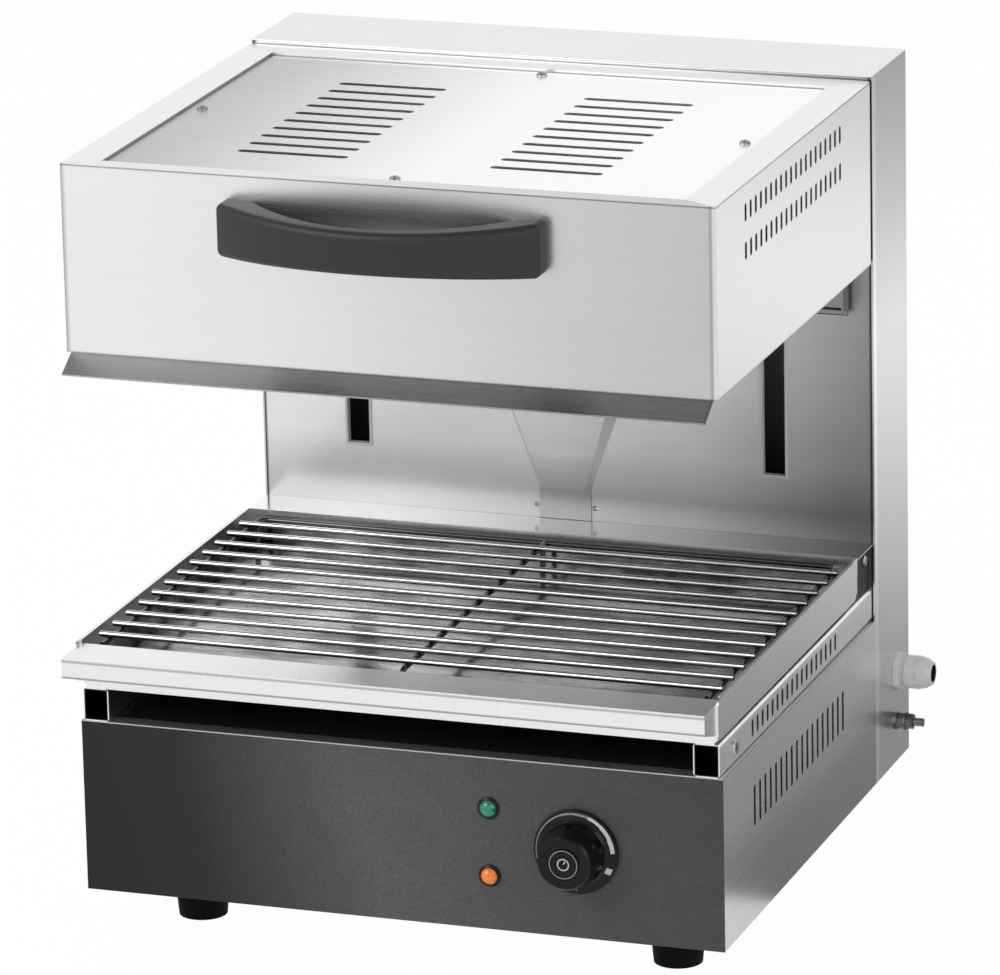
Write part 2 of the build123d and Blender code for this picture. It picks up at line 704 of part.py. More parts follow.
def gland_seal():
    """Rubber sleeve inside the gland that grips the cable."""
    start = gland_place + RIGHT * GLAND_FLANGE
    sleeve = rod(GLAND_MOUTH_R - RUN_FIT, GLAND_SEAL_LENGTH, start, RIGHT)
    return sleeve - rod(GLAND_SEAL_R, GLAND_SEAL_LENGTH, start, RIGHT)


def gland_locknut():
    """Locknut on the gland's tail, inside the column."""
    start = gland_place + LEFT * (SHEET + GLAND_LOCKNUT)
    nut = hexagon(GLAND_LOCKNUT_FLATS, GLAND_LOCKNUT, start, RIGHT)
    return nut - rod(GLAND_THREAD_R + RUN_FIT, GLAND_LOCKNUT, start, RIGHT)


def earth_stud():
    """Bonding bolt whose head is inside the column."""
    head = hexagon(STUD_NUT_FLATS, STUD_NUT, stud_place + LEFT * (SHEET + STUD_NUT), RIGHT)
    return head + rod(STUD_R, SHEET + STUD_REACH, stud_place + LEFT * SHEET, RIGHT)


def stud_ring(kind, distance):
    """A washer or a nut on the bonding bolt, at a distance from the wall."""
    start = stud_place + RIGHT * distance
    if kind == "washer":
        ring, length = rod(STUD_WASHER_R, STUD_WASHER, start, RIGHT), STUD_WASHER
    else:
        ring, length = hexagon(STUD_NUT_FLATS, STUD_NUT, start, RIGHT), STUD_NUT
    return ring - rod(STUD_R + RUN_FIT, length, start, RIGHT)


# ---- column --------------------------------------------------------------------------------------
rivet_seats = [(x, column_y, shelf_z + RIVET_RISE) for x in (-RIVET_X, RIVET_X)]
rear_screw_x = half - REAR_SCREW_INSET
rear_screw_levels = [
    base_z + REAR_SCREW_MARGIN,
    (base_z + column_top) / 2,
    column_top - REAR_SCREW_MARGIN,
]
rear_screw_seats = [(x, back_y, z) for x in (-rear_screw_x, rear_screw_x) for z in rear_screw_levels]


def column_front_panel():
    """Front of the column above the base, with a slot for each lift arm."""
    panel = block(-inner, inner, column_y, column_y + SHEET, base_top, column_top - SHEET)
    side = COLUMN_SLOT_WIDTH / 2
    slot = block(ARM_X - side, ARM_X + side, column_y - SHEET, column_y + 2 * SHEET, slot_floor, slot_top)
    panel -= [slot, on_left(slot)]
    return panel - [rod(RIVET_R + RUN_FIT, 2 * SHEET, seat, BACKWARD) for seat in map(Vector, rivet_seats)]


def slot_liner():
    """Pale edge liner in the right column slot, open at the top."""
    side = COLUMN_SLOT_WIDTH / 2
    gap = side - LINER_WALL
    front = column_y - LINER_PROUD
    rear = column_y + LINER_DEPTH
    liner = block(ARM_X - side, ARM_X + side, front, rear, slot_floor, slot_top)
    return liner - block(
        ARM_X - gap,
        ARM_X + gap,
        front - THROUGH,
        rear + THROUGH,
        slot_floor + LINER_WALL,
        slot_top + THROUGH,
    )


def column_side():
    """Right side of the column, folded in at the back for the rear cover."""
    side = block(inner, half, column_y, back_y, base_z, column_top - SHEET)
    return side + block(
        half - FLANGE - SHEET, inner, back_y - 2 * SHEET, back_y - SHEET, floor_top, column_top - SHEET
    )


def column_top_cap():
    """Lid of the column."""
    return block(-half, half, column_y, back_y, column_top - SHEET, column_top)


def column_rear_cover():
    """Removable back of the column with two banks of vents."""
    cover = block(-inner, inner, back_y - SHEET, back_y, base_z, column_top - SHEET)
    for row in range(REAR_SLOTS):
        z = column_top - REAR_SLOT_TOP - row * REAR_SLOT_PITCH
        for x in (-REAR_SLOT_X, REAR_SLOT_X):
            vent = extrude(SlotOverall(REAR_SLOT_LENGTH, SLOT_WIDTH), 2 * SHEET, both=True)
            cover -= Plane(origin=(x, back_y, z), x_dir=(1, 0, 0), z_dir=(0, 1, 0)) * vent
    return cover - [screw_hole(seat, BACKWARD) for seat in rear_screw_seats]


def duct_section(z, half_width, proud, shrink):
    """Outline of the tapered cover at one level: wide at the column, narrower in front."""
    wide = half_width - shrink
    narrow = wide - DUCT_SIDE_SLOPE * proud
    front = column_y - proud + shrink
    outline = Polyline((-wide, column_y), (-narrow, front), (narrow, front), (wide, column_y), close=True)
    return Pos(0, 0, z) * make_face(outline)


def duct_cover():
    """Tapered cover over the heater leads, narrow at its foot and open at its top, with a flat tab."""
    outer = loft(
        [
            duct_section(duct_tip_z, DUCT_HALF_TIP, DUCT_PROUD_TIP, 0),
            duct_section(duct_top_z, DUCT_HALF_TOP, DUCT_PROUD_TOP, 0),
        ],
        ruled=True,
    )
    rise = SHEET / (duct_top_z - duct_tip_z)
    half_in = DUCT_HALF_TIP + rise * (DUCT_HALF_TOP - DUCT_HALF_TIP)
    proud_in = DUCT_PROUD_TIP + rise * (DUCT_PROUD_TOP - DUCT_PROUD_TIP)
    hollow = loft(
        [
            duct_section(duct_tip_z + SHEET, half_in, proud_in, SHEET),
            duct_section(duct_top_z, DUCT_HALF_TOP, DUCT_PROUD_TOP, SHEET),
        ],
        ruled=True,
    )
    tab = block(
        -DUCT_HALF_TIP, DUCT_HALF_TIP, column_y - SHEET, column_y, shelf_z + TOUCH, duct_tip_z
    )
    return outer - hollow + tab


def guide_rod():
    """Right guide rod of the hood, from the lower block to the upper one."""
    return rod(GUIDE_R, guide_top - guide_bottom, Vector(guide_x, guide_axis_y, guide_bottom), UP)


def guide_block(z):
    """Block on the back of the front panel that holds a guide rod's end."""
    side = GUIDE_BLOCK_WIDTH / 2
    body = block(
        guide_x - side,
        guide_x + side,
        column_y + SHEET,
        guide_axis_y + side,
        z,
        z + GUIDE_BLOCK_HEIGHT,
    )
    return body - rod(GUIDE_R + RUN_FIT, GUIDE_BLOCK_HEIGHT, Vector(guide_x, guide_axis_y, z), UP)


def gas_spring_cylinder():
    """Right gas spring cylinder, standing on the floor by its stub."""
    at = Vector(SPRING_X, guide_axis_y, 0)
    body = rod(SPRING_R, spring_length, at + UP * spring_bottom, UP)
    body += rod(SPRING_STUB_R, SPRING_STUB, at + UP * floor_top, UP)
    return body - rod(SPRING_ROD_R + RUN_FIT, spring_length, at + UP * (spring_bottom + SPRING_WALL), UP)


# ---- lift carriage, riding with the hood ---------------------------------------------------------
def lift_carriage():
    """Welded carriage: two arms through the column slots, joined by a plate that the springs push."""
    right = block(arm_inner, arm_inner + ARM_PLATE, hood_back, arm_back, arm_z, carrier_top)
    right += block(
        arm_inner - ARM_FLANGE, arm_inner, hood_back, hood_back + ARM_PLATE, arm_z, carrier_top
    )
    plate_y = arm_back - ARM_PLATE
    right += block(
        SPRING_X - SPRING_R,
        SPRING_X + SPRING_R,
        guide_axis_y - SPRING_R,
        plate_y,
        lug_z,
        lug_z + SPRING_LUG,
    )
    plate = block(-arm_inner, arm_inner, plate_y, arm_back, lug_z, lug_z + CROSS_PLATE_HEIGHT)
    return plate + right + on_left(right)


def carrier():
    """Right bearing block on its guide rod, bored for two bushes."""
    at = Vector(guide_x, guide_axis_y, carrier_z)
    body = Pos(at) * Box(
        CARRIER_WIDTH, CARRIER_WIDTH, CARRIER_HEIGHT, align=(Align.CENTER, Align.CENTER, Align.MIN)
    )
    body = chamfer(body.edges().filter_by(Axis.Z), CARRIER_EDGE)
    return body - rod(BUSH_R + RUN_FIT, CARRIER_HEIGHT, at, UP)


def guide_bush(z):
    """Sliding bush on the right guide rod."""
    at = Vector(guide_x, guide_axis_y, z)
    return rod(BUSH_R, BUSH_LENGTH, at, UP) - rod(GUIDE_R + RUN_FIT, BUSH_LENGTH, at, UP)


def gas_spring_rod():
    """Right gas spring rod, between its cylinder and the carriage."""
    return rod(SPRING_ROD_R, lug_z - rod_tip, Vector(SPRING_X, guide_axis_y, rod_tip), UP)


# ---- hood ----------------------------------------------------------------------------------------
def rectangle(side, front, rear):
    """Corners of a ring line on the hood's top, inset from its sides, front and rear."""
    x = half - side
    return [(-x, front), (x, front), (x, hood_back - rear), (-x, hood_back - rear)]


rim_outer = rectangle(0, 0, 0)
rim_web = rectangle(RIM_SIDE - SHEET, RIM_FRONT - SHEET, RIM_REAR - SHEET)
rim_opening = rectangle(RIM_SIDE, RIM_FRONT, RIM_REAR)
rim_ledge = rectangle(RIM_SIDE + LEDGE, RIM_FRONT + LEDGE, RIM_REAR + LEDGE)
cover_top = hood_top - COVER_RECESS
ledge_top = cover_top - SHEET
cover_front_y = RIM_FRONT + COVER_SCREW_INSET
cover_rear_y = hood_back - RIM_REAR - COVER_SCREW_INSET
cover_side_x = half - RIM_SIDE - COVER_SCREW_INSET
cover_mid_y = (RIM_FRONT + hood_back - RIM_REAR) / 2
cover_screw_seats = [
    (0, cover_front_y, cover_top),
    (0, cover_rear_y, cover_top),
    (-cover_side_x, cover_mid_y, cover_top),
    (cover_side_x, cover_mid_y, cover_top),
]
FRONT_EDGE, RIGHT_EDGE, REAR_EDGE = 0, 1, 2


def mitred(outside, inside, edge, z0, z1):
    """One mitred side of a ring between two rectangles."""
    after = (edge + 1) % 4
    return prism_z([outside[edge], outside[after], inside[after], inside[edge]], z0, z1)


def rim_side(edge):
    """Top rim of one hood panel: a mitred flange, stepped down to a ledge for the cover."""
    rim = mitred(rim_outer, rim_opening, edge, hood_top - SHEET, hood_top)
    rim += mitred(rim_web, rim_opening, edge, ledge_top - SHEET, hood_top - SHEET)
    rim += mitred(rim_opening, rim_ledge, edge, ledge_top - SHEET, ledge_top)
    return rim - [screw_hole(seat, UP) for seat in cover_screw_seats]


handle_foot_x = HANDLE_HALF - HANDLE_FOOT / 2


def handle_screw_hole(x):
    """Cutter for one handle screw, from inside the hood."""
    start = Vector(x, SHEET, handle_z)
    return rod(HANDLE_SCREW_R + RUN_FIT, SHEET + HANDLE_SCREW_DEPTH + TOUCH, start, FRONTWARD)


def hood_front_panel():
    """Front of the hood with its rim, and a lip that leans forward along the bottom."""
    panel = block(-half, half, 0, SHEET, hood_z, hood_top)
    panel += rim_side(FRONT_EDGE)
    lip = [
        (SHEET, hood_z),
        (0, hood_z),
        (-LIP_FORWARD, hood_z - LIP_DROP),
        (-LIP_FORWARD + SHEET / 2, hood_z - LIP_DROP - SHEET),
        (SHEET, hood_z - SHEET / 2),
    ]
    panel += prism_x(lip, LIP_INSET - half, half - LIP_INSET)
    return panel - [handle_screw_hole(x) for x in (-handle_foot_x, handle_foot_x)]


def hood_side():
    """Right side of the hood with its rim and two rows of vents."""
    side = block(inner, half, SHEET, hood_back, hood_z, hood_top)
    rim = rim_side(RIGHT_EDGE)
    rim -= block(-half, half, 0, SHEET, hood_z, hood_top)
    rim -= block(-inner, inner, hood_back - SHEET, hood_back, hood_z, hood_top)
    side += rim
    for row in HOOD_SLOT_ROWS:
        side -= slot_row(
            HOOD_SLOTS,
            HOOD_SLOT_Y,
            HOOD_SLOT_PITCH,
            lambda y: side_slot(inner + SHEET / 2, y, hood_top - row, HOOD_SLOT_LENGTH),
        )
    return side


def hood_rear_panel():
    """Back of the hood with its rim, drawn down below the hood, and open in the middle for the duct."""
    x = half - REAR_PANEL_INSET
    front = hood_back - SHEET
    panel = block(-inner, inner, front, hood_back, hood_z, hood_top)
    panel += block(-x, x, front, hood_back, arm_z, hood_z)
    hem = block(-x, x, front - 2 * SHEET, front, arm_z, arm_z + REAR_HEM)
    panel += fillet(hem.edges().filter_by(Axis.X).group_by(Axis.Y)[0], SHEET)
    flange = block(x - SHEET, x, front - FLANGE, front, arm_z + REAR_HEM, hood_z + REAR_HEM)
    panel += [flange, on_left(flange)]
    panel += rim_side(REAR_EDGE) & block(-inner, inner, 0, hood_back, hood_z, hood_top)
    panel += block(-inner, inner, front, column_y - REAR_RIM_GAP, hood_top - SHEET, hood_top)
    opening = DUCT_HALF_TOP + DUCT_CLEARANCE
    opening_top = duct_top_z + LIFT_TRAVEL + DUCT_CLEARANCE
    return panel - block(
        -opening, opening, front - FLANGE, hood_back + THROUGH, arm_z - THROUGH, opening_top
    )


def hood_top_cover():
    """Recessed top cover with two banks of slots."""
    x = half - RIM_SIDE - TOUCH
    front = RIM_FRONT + TOUCH
    rear = hood_back - RIM_REAR - TOUCH
    cover = block(-x, x, front, rear, ledge_top, cover_top)
    for bank in (-TOP_SLOT_X, TOP_SLOT_X):
        cover -= slot_row(
            TOP_SLOTS,
            TOP_SLOT_Y,
            TOP_SLOT_PITCH,
            lambda y: flat_slot(bank, y, cover_top, TOP_SLOT_LENGTH, TOP_SLOT_WIDTH),
        )
    return cover - [screw_hole(seat, UP) for seat in cover_screw_seats]


def handle():
    """Bowed handle, slimmer at its middle, with a foot at each end and rounded edges."""
    foot_inner = HANDLE_HALF - HANDLE_FOOT
    outer = ThreePointArc((-HANDLE_HALF, -HANDLE_END), (0, -HANDLE_REACH), (HANDLE_HALF, -HANDLE_END))
    bow = ThreePointArc((foot_inner, 0), (0, -HANDLE_GAP), (-foot_inner, 0))
    feet = [
        Line((HANDLE_HALF, -HANDLE_END), (HANDLE_HALF, 0)),
        Line((HANDLE_HALF, 0), (foot_inner, 0)),
        Line((-foot_inner, 0), (-HANDLE_HALF, 0)),
        Line((-HANDLE_HALF, 0), (-HANDLE_HALF, -HANDLE_END)),
    ]
    high, low = HANDLE_END_HEIGHT / 2, HANDLE_HEIGHT / 2
    outline = [
        ThreePointArc((-HANDLE_HALF, high), (0, low), (HANDLE_HALF, high)),
        Line((HANDLE_HALF, high), (HANDLE_HALF, -high)),
        ThreePointArc((HANDLE_HALF, -high), (0, -low), (-HANDLE_HALF, -high)),
        Line((-HANDLE_HALF, -high), (-HANDLE_HALF, high)),
    ]
    plan = Pos(0, 0, handle_z - high) * extrude(make_face([outer, bow] + feet), HANDLE_END_HEIGHT)
    front = Plane.XZ * extrude(make_face(outline), HANDLE_REACH + THROUGH, both=True)
    grip = plan & (Pos(0, 0, handle_z) * front)
    grip = fillet(grip.edges().filter_by(Axis.Z).group_by(Axis.Y)[0], HANDLE_ROUND)
    rims = [
        edge
        for edge in grip.edges()
        if edge.bounding_box().min.Y < -HANDLE_END + 1 and abs(edge.center().Z - handle_z) > low / 2
    ]
    grip = fillet(rims, HANDLE_ROUND)
    return grip - [handle_screw_hole(x) for x in (-handle_foot_x, handle_foot_x)]


def handle_screw(x):
    """Screw from inside the hood into a foot of the handle."""
    seat = Vector(x, SHEET, handle_z)
    screw = rod(2 * HANDLE_SCREW_R, HANDLE_SCREW_R, seat, BACKWARD)
    return screw + rod(HANDLE_SCREW_R, SHEET + HANDLE_SCREW_DEPTH, seat, FRONTWARD)


element_starts = {"front": ELEMENT_FRONT_Y, "rear": ELEMENT_REAR_Y}


def element_end_rows():
    """Where both ends of each element leave the reflector."""
    last = (ELEMENT_RUNS - 1) * ELEMENT_PITCH
    return [y + step for y in element_starts.values() for step in (0, last)]


def reflector():
    """Polished reflector over the elements: an inverted pan, flanged out to the front and sides."""
    x, front, rear = reflector_half, REFLECTOR_FRONT, reflector_back
    bottom = reflector_z - REFLECTOR_SKIRT
    outer = block(-x, x, front, rear, bottom, reflector_z + SHEET)
    outer = fillet(outer.edges().group_by(Axis.Z)[-1], REFLECTOR_FOLD_R)
    hollow = block(-x + SHEET, x - SHEET, front + SHEET, rear - SHEET, bottom - THROUGH, reflector_z)
    hollow = fillet(hollow.edges().group_by(Axis.Z)[-1], REFLECTOR_FOLD_R - SHEET)
    pan = outer - hollow
    pan += block(-inner, inner, SHEET, front, bottom, bottom + SHEET)
    side = block(x, inner, front, rear, bottom, bottom + SHEET)
    pan += [side, on_left(side)]
    for y in element_end_rows():
        pan -= rod(ELEMENT_R + TOUCH, 4 * SHEET, Vector(-x - SHEET, y, element_z), RIGHT)
    return pan


def insulation_blanket():
    """Mineral wool blanket on top of the reflector."""
    x = reflector_half - REFLECTOR_FOLD_R
    front = REFLECTOR_FRONT + REFLECTOR_FOLD_R
    rear = reflector_back - REFLECTOR_FOLD_R
    bottom = reflector_z + SHEET
    return block(-x, x, front, rear, bottom, bottom + BLANKET_THICKNESS)


def heating_element(first_y):
    """Tubular element bent to and fro in one plane, both ends out through the left of the reflector."""
    tail = -reflector_half - ELEMENT_TAIL
    reach = reflector_half - ELEMENT_TURN_INSET
    turn = ELEMENT_PITCH / 2
    parts = []
    for run in range(ELEMENT_RUNS):
        y = first_y + run * ELEMENT_PITCH
        start = tail if run in (0, ELEMENT_RUNS - 1) else -reach
        parts.append(Line((start, y, element_z), (reach, y, element_z)))
    for run in range(ELEMENT_RUNS - 1):
        y = first_y + run * ELEMENT_PITCH
        x = reach if run % 2 == 0 else -reach
        bend = x + turn if run % 2 == 0 else x - turn
        parts.append(
            ThreePointArc((x, y, element_z), (bend, y + turn, element_z), (x, y + 2 * turn, element_z))
        )
    section = Plane(origin=(tail, first_y, element_z), z_dir=(1, 0, 0)) * Circle(ELEMENT_R)
    return sweep(section, path=Wire(parts))


def element_hanger(x):
    """Strip under the reflector that carries every run of both elements."""
    y0 = ELEMENT_FRONT_Y - ELEMENT_R - HANGER_MARGIN
    y1 = ELEMENT_REAR_Y + (ELEMENT_RUNS - 1) * ELEMENT_PITCH + ELEMENT_R + HANGER_MARGIN
    bottom = element_z - ELEMENT_R - HANGER_UNDER
    strip = block(x - HANGER_PLATE / 2, x + HANGER_PLATE / 2, y0, y1, bottom, reflector_z)
    for first_y in element_starts.values():
        for run in range(ELEMENT_RUNS):
            start = Vector(x - HANGER_PLATE, first_y + run * ELEMENT_PITCH, element_z)
            strip -= rod(ELEMENT_R + RUN_FIT, 2 * HANGER_PLATE, start, RIGHT)
    return strip


# ---- drip tray and grid --------------------------------------------------------------------------
def tray_wall():
    """Right wall of the tray: a doubled sheet, the outer one with rounded ends."""
    apron = block(
        inner, half, -TRAY_APRON_FRONT, tray_back - TRAY_APRON_REAR, tray_floor - TRAY_APRON_DROP, tray_top
    )
    apron = fillet(apron.edges().filter_by(Axis.X), TRAY_APRON_ROUND)
    return apron + block(inner - SHEET, inner, 0, tray_back, tray_floor - SHEET, tray_top)


def lip_end():
    """Plate that closes the right end of the front lip."""
    outline = [
        (-TRAY_LIP, lip_top),
        (0, lip_top),
        (0, tray_floor),
        (-TRAY_APRON_FRONT, tray_floor),
        (-TRAY_LIP, lip_top - TRAY_LIP_FACE),
    ]
    return prism_x(outline, inner - SHEET, inner)


def tray_runner():
    """Right runner under the tray, sliding on its rail."""
    x = rail_inner + RUNNER_INSET
    web = block(x, x + SHEET, 0, tray_back, rail_top, tray_floor - SHEET)
    return web + block(x, x + RUNNER_WIDTH, 0, tray_back, rail_top, rail_top + SHEET)


def drip_tray():
    """Drip tray: floor, walls, a front lip to pull it by, and runners under it."""
    floor = block(-inner, inner, 0, tray_back, tray_floor - SHEET, tray_floor)
    front = block(-inner, inner, 0, SHEET, rail_top, lip_top)
    front = chamfer(front.edges().filter_by(Axis.Y).group_by(Axis.Z)[0], TRAY_CHAMFER)
    rear = block(-inner, inner, tray_back - SHEET, tray_back, tray_floor - SHEET, tray_top)
    lip = block(-inner, inner, -TRAY_LIP, 0, lip_top - SHEET, lip_top)
    lip += block(-inner, inner, -TRAY_LIP, -TRAY_LIP + SHEET, lip_top - TRAY_LIP_FACE, lip_top)
    right = tray_wall() + lip_end() + tray_runner()
    return floor + front + rear + lip + right + on_left(right)


wire_z = tray_top - GRID_SUNK - WIRE_R
cross_wire_z = wire_z - 2 * WIRE_R + WELD
grid_front = GRID_FIRST_Y - GRID_FRAME_MARGIN
rear_wire_y = tray_back - SHEET - GRID_REAR_WIRE


def swept_wire(start, direction, *points):
    """A wire through the points, with rounded bends."""
    section = Plane(origin=start, z_dir=direction) * Circle(WIRE_R)
    return sweep(section, path=FilletPolyline(start, *points, radius=GRID_BEND_R))


def grid_frame():
    """Outer wire of the grid, in one level: the rear with its bends, and a side butted to each end."""
    x, front, seam = grid_frame_x, grid_front - WIRE_R, rear_wire_y - GRID_BEND_R
    wire = swept_wire(
        (-x, front, cross_wire_z),
        (0, 1, 0),
        (-x, rear_wire_y, cross_wire_z),
        (x, rear_wire_y, cross_wire_z),
        (x, front, cross_wire_z),
    )
    beyond = grid_half + THROUGH
    low, high = cross_wire_z - 2 * WIRE_R, cross_wire_z + 2 * WIRE_R
    sides = wire - block(-beyond, beyond, seam, rear_wire_y + beyond, low, high)
    rear = wire - block(-beyond, beyond, front - THROUGH, seam, low, high)
    return [sides, rear]


def middle_wire():
    """Middle cross wire welded to the rear wire, and the bent leg butted to its front end."""
    seam = grid_front + GRID_BEND_R
    wire = swept_wire(
        (0, grid_front, tray_floor),
        (0, 0, 1),
        (0, grid_front, cross_wire_z),
        (0, rear_wire_y - WIRE_R, cross_wire_z),
    )
    low, high = tray_floor - THROUGH, cross_wire_z + THROUGH
    leg = wire - block(-WIRE_R, WIRE_R, seam, rear_wire_y, low, high)
    return [leg, wire - block(-WIRE_R, WIRE_R, grid_front - WIRE_R, seam, low, high)]


def grid_leg(x, y):
    """Leg between the tray's floor and a wire of the frame."""
    return rod(WIRE_R, cross_wire_z - WIRE_R - tray_floor, Vector(x, y, tray_floor), UP)


def long_wires(radius):
    """The grid's long wires, or the notches that they leave in the cross wires."""
    rows = [GRID_FIRST_Y + i * GRID_PITCH for i in range(GRID_WIRES)]
    return [rod(radius, 2 * grid_half, Vector(-grid_half, y, wire_z), RIGHT) for y in rows]


def cross_wires():
    """The wires under the long ones, notched where those are welded on, and the legs below them."""
    notches = long_wires(WIRE_R + RUN_FIT)
    rear = rear_wire_y - GRID_BEND_R
    feet = [(-grid_frame_x, grid_front), (grid_frame_x, grid_front)]
    feet += [(x, rear) for x in (-grid_frame_x, 0, grid_frame_x)]
    wires = [wire - notches for wire in grid_frame() + middle_wire()]
    return wires + [grid_leg(x, y) for x, y in feet]


# ---- all nodes -----------------------------------------------------------------------------------
def main():
    os.makedirs("parts", exist_ok=True)

    export_node("base_front_panel", base_front_panel())
    export_node("base_side_right", base_side())
    export_node("base_side_left", on_left(base_side()))
    export_node("base_floor", base_floor())
    export_node("base_deck", solids_of([base_deck(), shelf_bracket()]))
    export_node("rear_shelf", rear_shelf())
    export_node("rail_right", rail())
    export_node("rail_left", on_left(rail()))
    for name, (x, y) in foot_places.items():
        export_node("foot_" + name, foot(x, y))
    export_node("foot_bolts", solids_of([foot_bolt(x, y) for x, y in foot_places.values()]))

    rail_screw = pan_screw(rail_screw_seat, RIGHT, head_r=RAIL_SCREW_HEAD_R)
    casing_screws = [rail_screw, on_left(rail_screw)]
    shelf_screw = pan_screw(shelf_screw_seat, RIGHT, length=SHELF_SCREW_LENGTH)
    casing_screws += [shelf_screw, on_left(shelf_screw)]
    casing_screws += [rivet(seat) for seat in rivet_seats]
    casing_screws += [pan_screw(seat, BACKWARD) for seat in rear_screw_seats]
    export_node("casing_screws", solids_of(casing_screws))

    for colour, place in lamp_places.items():
        export_node("lamp_lens_" + colour, lamp_lens(place))
    export_node("lamp_bezels", solids_of([lamp_bezel(place) for place in lamp_places.values()]))
    export_node("control_knob", control_knob())
    export_node("knob_spindle", knob_spindle())
    export_node("thermostat_body", thermostat_body())
    export_node("thermostat_nut", thermostat_nut())
    export_node("terminal_block", terminal_block())

    export_node("gland_body", gland_body())
    export_node("gland_dome_nut", gland_dome_nut())
    export_node("gland_seal", gland_seal())
    export_node("gland_locknut", gland_locknut())
    export_node("earth_stud", earth_stud())
    second = STUD_WASHER + STUD_NUT
    export_node("earth_washers", solids_of([stud_ring("washer", 0), stud_ring("washer", second)]))
    nuts = [stud_ring("nut", STUD_WASHER), stud_ring("nut", second + STUD_WASHER)]
    export_node("earth_nuts", solids_of(nuts))

    column_side_right = column_side() - [
        rod(GLAND_THREAD_R + RUN_FIT, 4 * SHEET, gland_place + LEFT * (2 * SHEET), RIGHT),
        rod(STUD_R + RUN_FIT, 4 * SHEET, stud_place + LEFT * (2 * SHEET), RIGHT),
    ]
    rear_holes = [screw_hole(seat, BACKWARD) for seat in rear_screw_seats]
    export_node("column_front_panel", column_front_panel())
    export_node("slot_liners", solids_of([slot_liner(), on_left(slot_liner())]))
    export_node("column_side_right", column_side_right - rear_holes)
    export_node("column_side_left", on_left(column_side()) - rear_holes)
    export_node("column_top_cap", column_top_cap())
    export_node("column_rear_cover", column_rear_cover())
    export_node("duct_cover", duct_cover())
    export_node("guide_rod_right", guide_rod())
    export_node("guide_rod_left", on_left(guide_rod()))
    blocks = [guide_block(guide_bottom), guide_block(guide_top - GUIDE_BLOCK_HEIGHT)]
    export_node("guide_blocks", solids_of(blocks + [on_left(piece) for piece in blocks]))
    cylinder = gas_spring_cylinder()
    export_node("gas_spring_cylinders", solids_of([cylinder, on_left(cylinder)]))

    export_node("lift_carriage", lift_carriage())
    export_node("carriers", solids_of([carrier(), on_left(carrier())]))
    bushes = [guide_bush(carrier_z), guide_bush(carrier_top - BUSH_LENGTH)]
    export_node("guide_bushes", solids_of(bushes + [on_left(piece) for piece in bushes]))
    export_node("gas_spring_rods", solids_of([gas_spring_rod(), on_left(gas_spring_rod())]))

    export_node("hood_front_panel", hood_front_panel())
    export_node("hood_side_right", hood_side())
    export_node("hood_side_left", on_left(hood_side()))
    export_node("hood_rear_panel", hood_rear_panel())
    export_node("hood_top_cover", hood_top_cover())
    export_node("cover_screws", solids_of([pan_screw(seat, UP) for seat in cover_screw_seats]))
    export_node("handle", handle())
    export_node("handle_screws", solids_of([handle_screw(x) for x in (-handle_foot_x, handle_foot_x)]))
    export_node("reflector", reflector())
    export_node("insulation_blanket", insulation_blanket())
    for name, first_y in element_starts.items():
        export_node("heating_element_" + name, heating_element(first_y))
    export_node("element_hangers", solids_of([element_hanger(-HANGER_X), element_hanger(HANGER_X)]))

    export_node("drip_tray", drip_tray())
    export_node("grid_long_wires", solids_of(long_wires(WIRE_R)))
    export_node("grid_cross_wires", solids_of(cross_wires()))
    print("origin offset", ORIGIN_X, ORIGIN_Y)


main()
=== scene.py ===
"""Countertop grill with a height-adjustable hood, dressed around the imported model.

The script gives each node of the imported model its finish, eases the edges of the sheet pieces,
adds the marks on the knob, and sets up the studio and the camera.
"""

import json
import logging
import math
from dataclasses import dataclass, field
from enum import Enum
from typing import Any, Optional, Sequence, Union

import bpy
from mathutils import Matrix, Vector

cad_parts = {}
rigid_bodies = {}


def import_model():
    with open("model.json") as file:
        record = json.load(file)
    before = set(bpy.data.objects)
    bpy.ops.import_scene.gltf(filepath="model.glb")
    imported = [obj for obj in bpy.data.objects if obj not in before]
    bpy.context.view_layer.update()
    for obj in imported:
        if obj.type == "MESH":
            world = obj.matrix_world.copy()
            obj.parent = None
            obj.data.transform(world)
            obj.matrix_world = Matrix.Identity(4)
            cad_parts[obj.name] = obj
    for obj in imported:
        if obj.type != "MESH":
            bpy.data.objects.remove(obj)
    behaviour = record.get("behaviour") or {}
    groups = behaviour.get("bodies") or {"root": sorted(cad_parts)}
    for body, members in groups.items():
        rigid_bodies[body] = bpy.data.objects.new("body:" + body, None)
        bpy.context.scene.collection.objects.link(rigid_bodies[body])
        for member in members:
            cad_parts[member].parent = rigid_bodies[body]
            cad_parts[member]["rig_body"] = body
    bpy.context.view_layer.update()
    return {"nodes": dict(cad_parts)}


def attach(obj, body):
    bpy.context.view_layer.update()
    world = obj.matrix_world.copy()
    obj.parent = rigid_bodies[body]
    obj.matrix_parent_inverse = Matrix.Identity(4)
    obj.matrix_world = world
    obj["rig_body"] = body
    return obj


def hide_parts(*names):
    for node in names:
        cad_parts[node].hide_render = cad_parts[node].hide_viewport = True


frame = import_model()

log = logging.getLogger("grill")

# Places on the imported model, in metres, that the finishes follow.
MM = 0.001
LEFT, RIGHT = -0.2379, 0.2121  # the casing's sides
MIDDLE = -0.0129  # the casing's middle plane
EDGE = 2.2 * MM  # width of a fold's painted light or dark band
BASE_LOW, BASE_HIGH = 0.036, 0.156
HOOD_LOW, HOOD_HIGH = 0.412, 0.540
COLUMN_TOP = 0.543
COVER_X = (-0.2136, 0.1878)  # the hood's top cover
COVER_Y = (-0.1781, 0.1343)

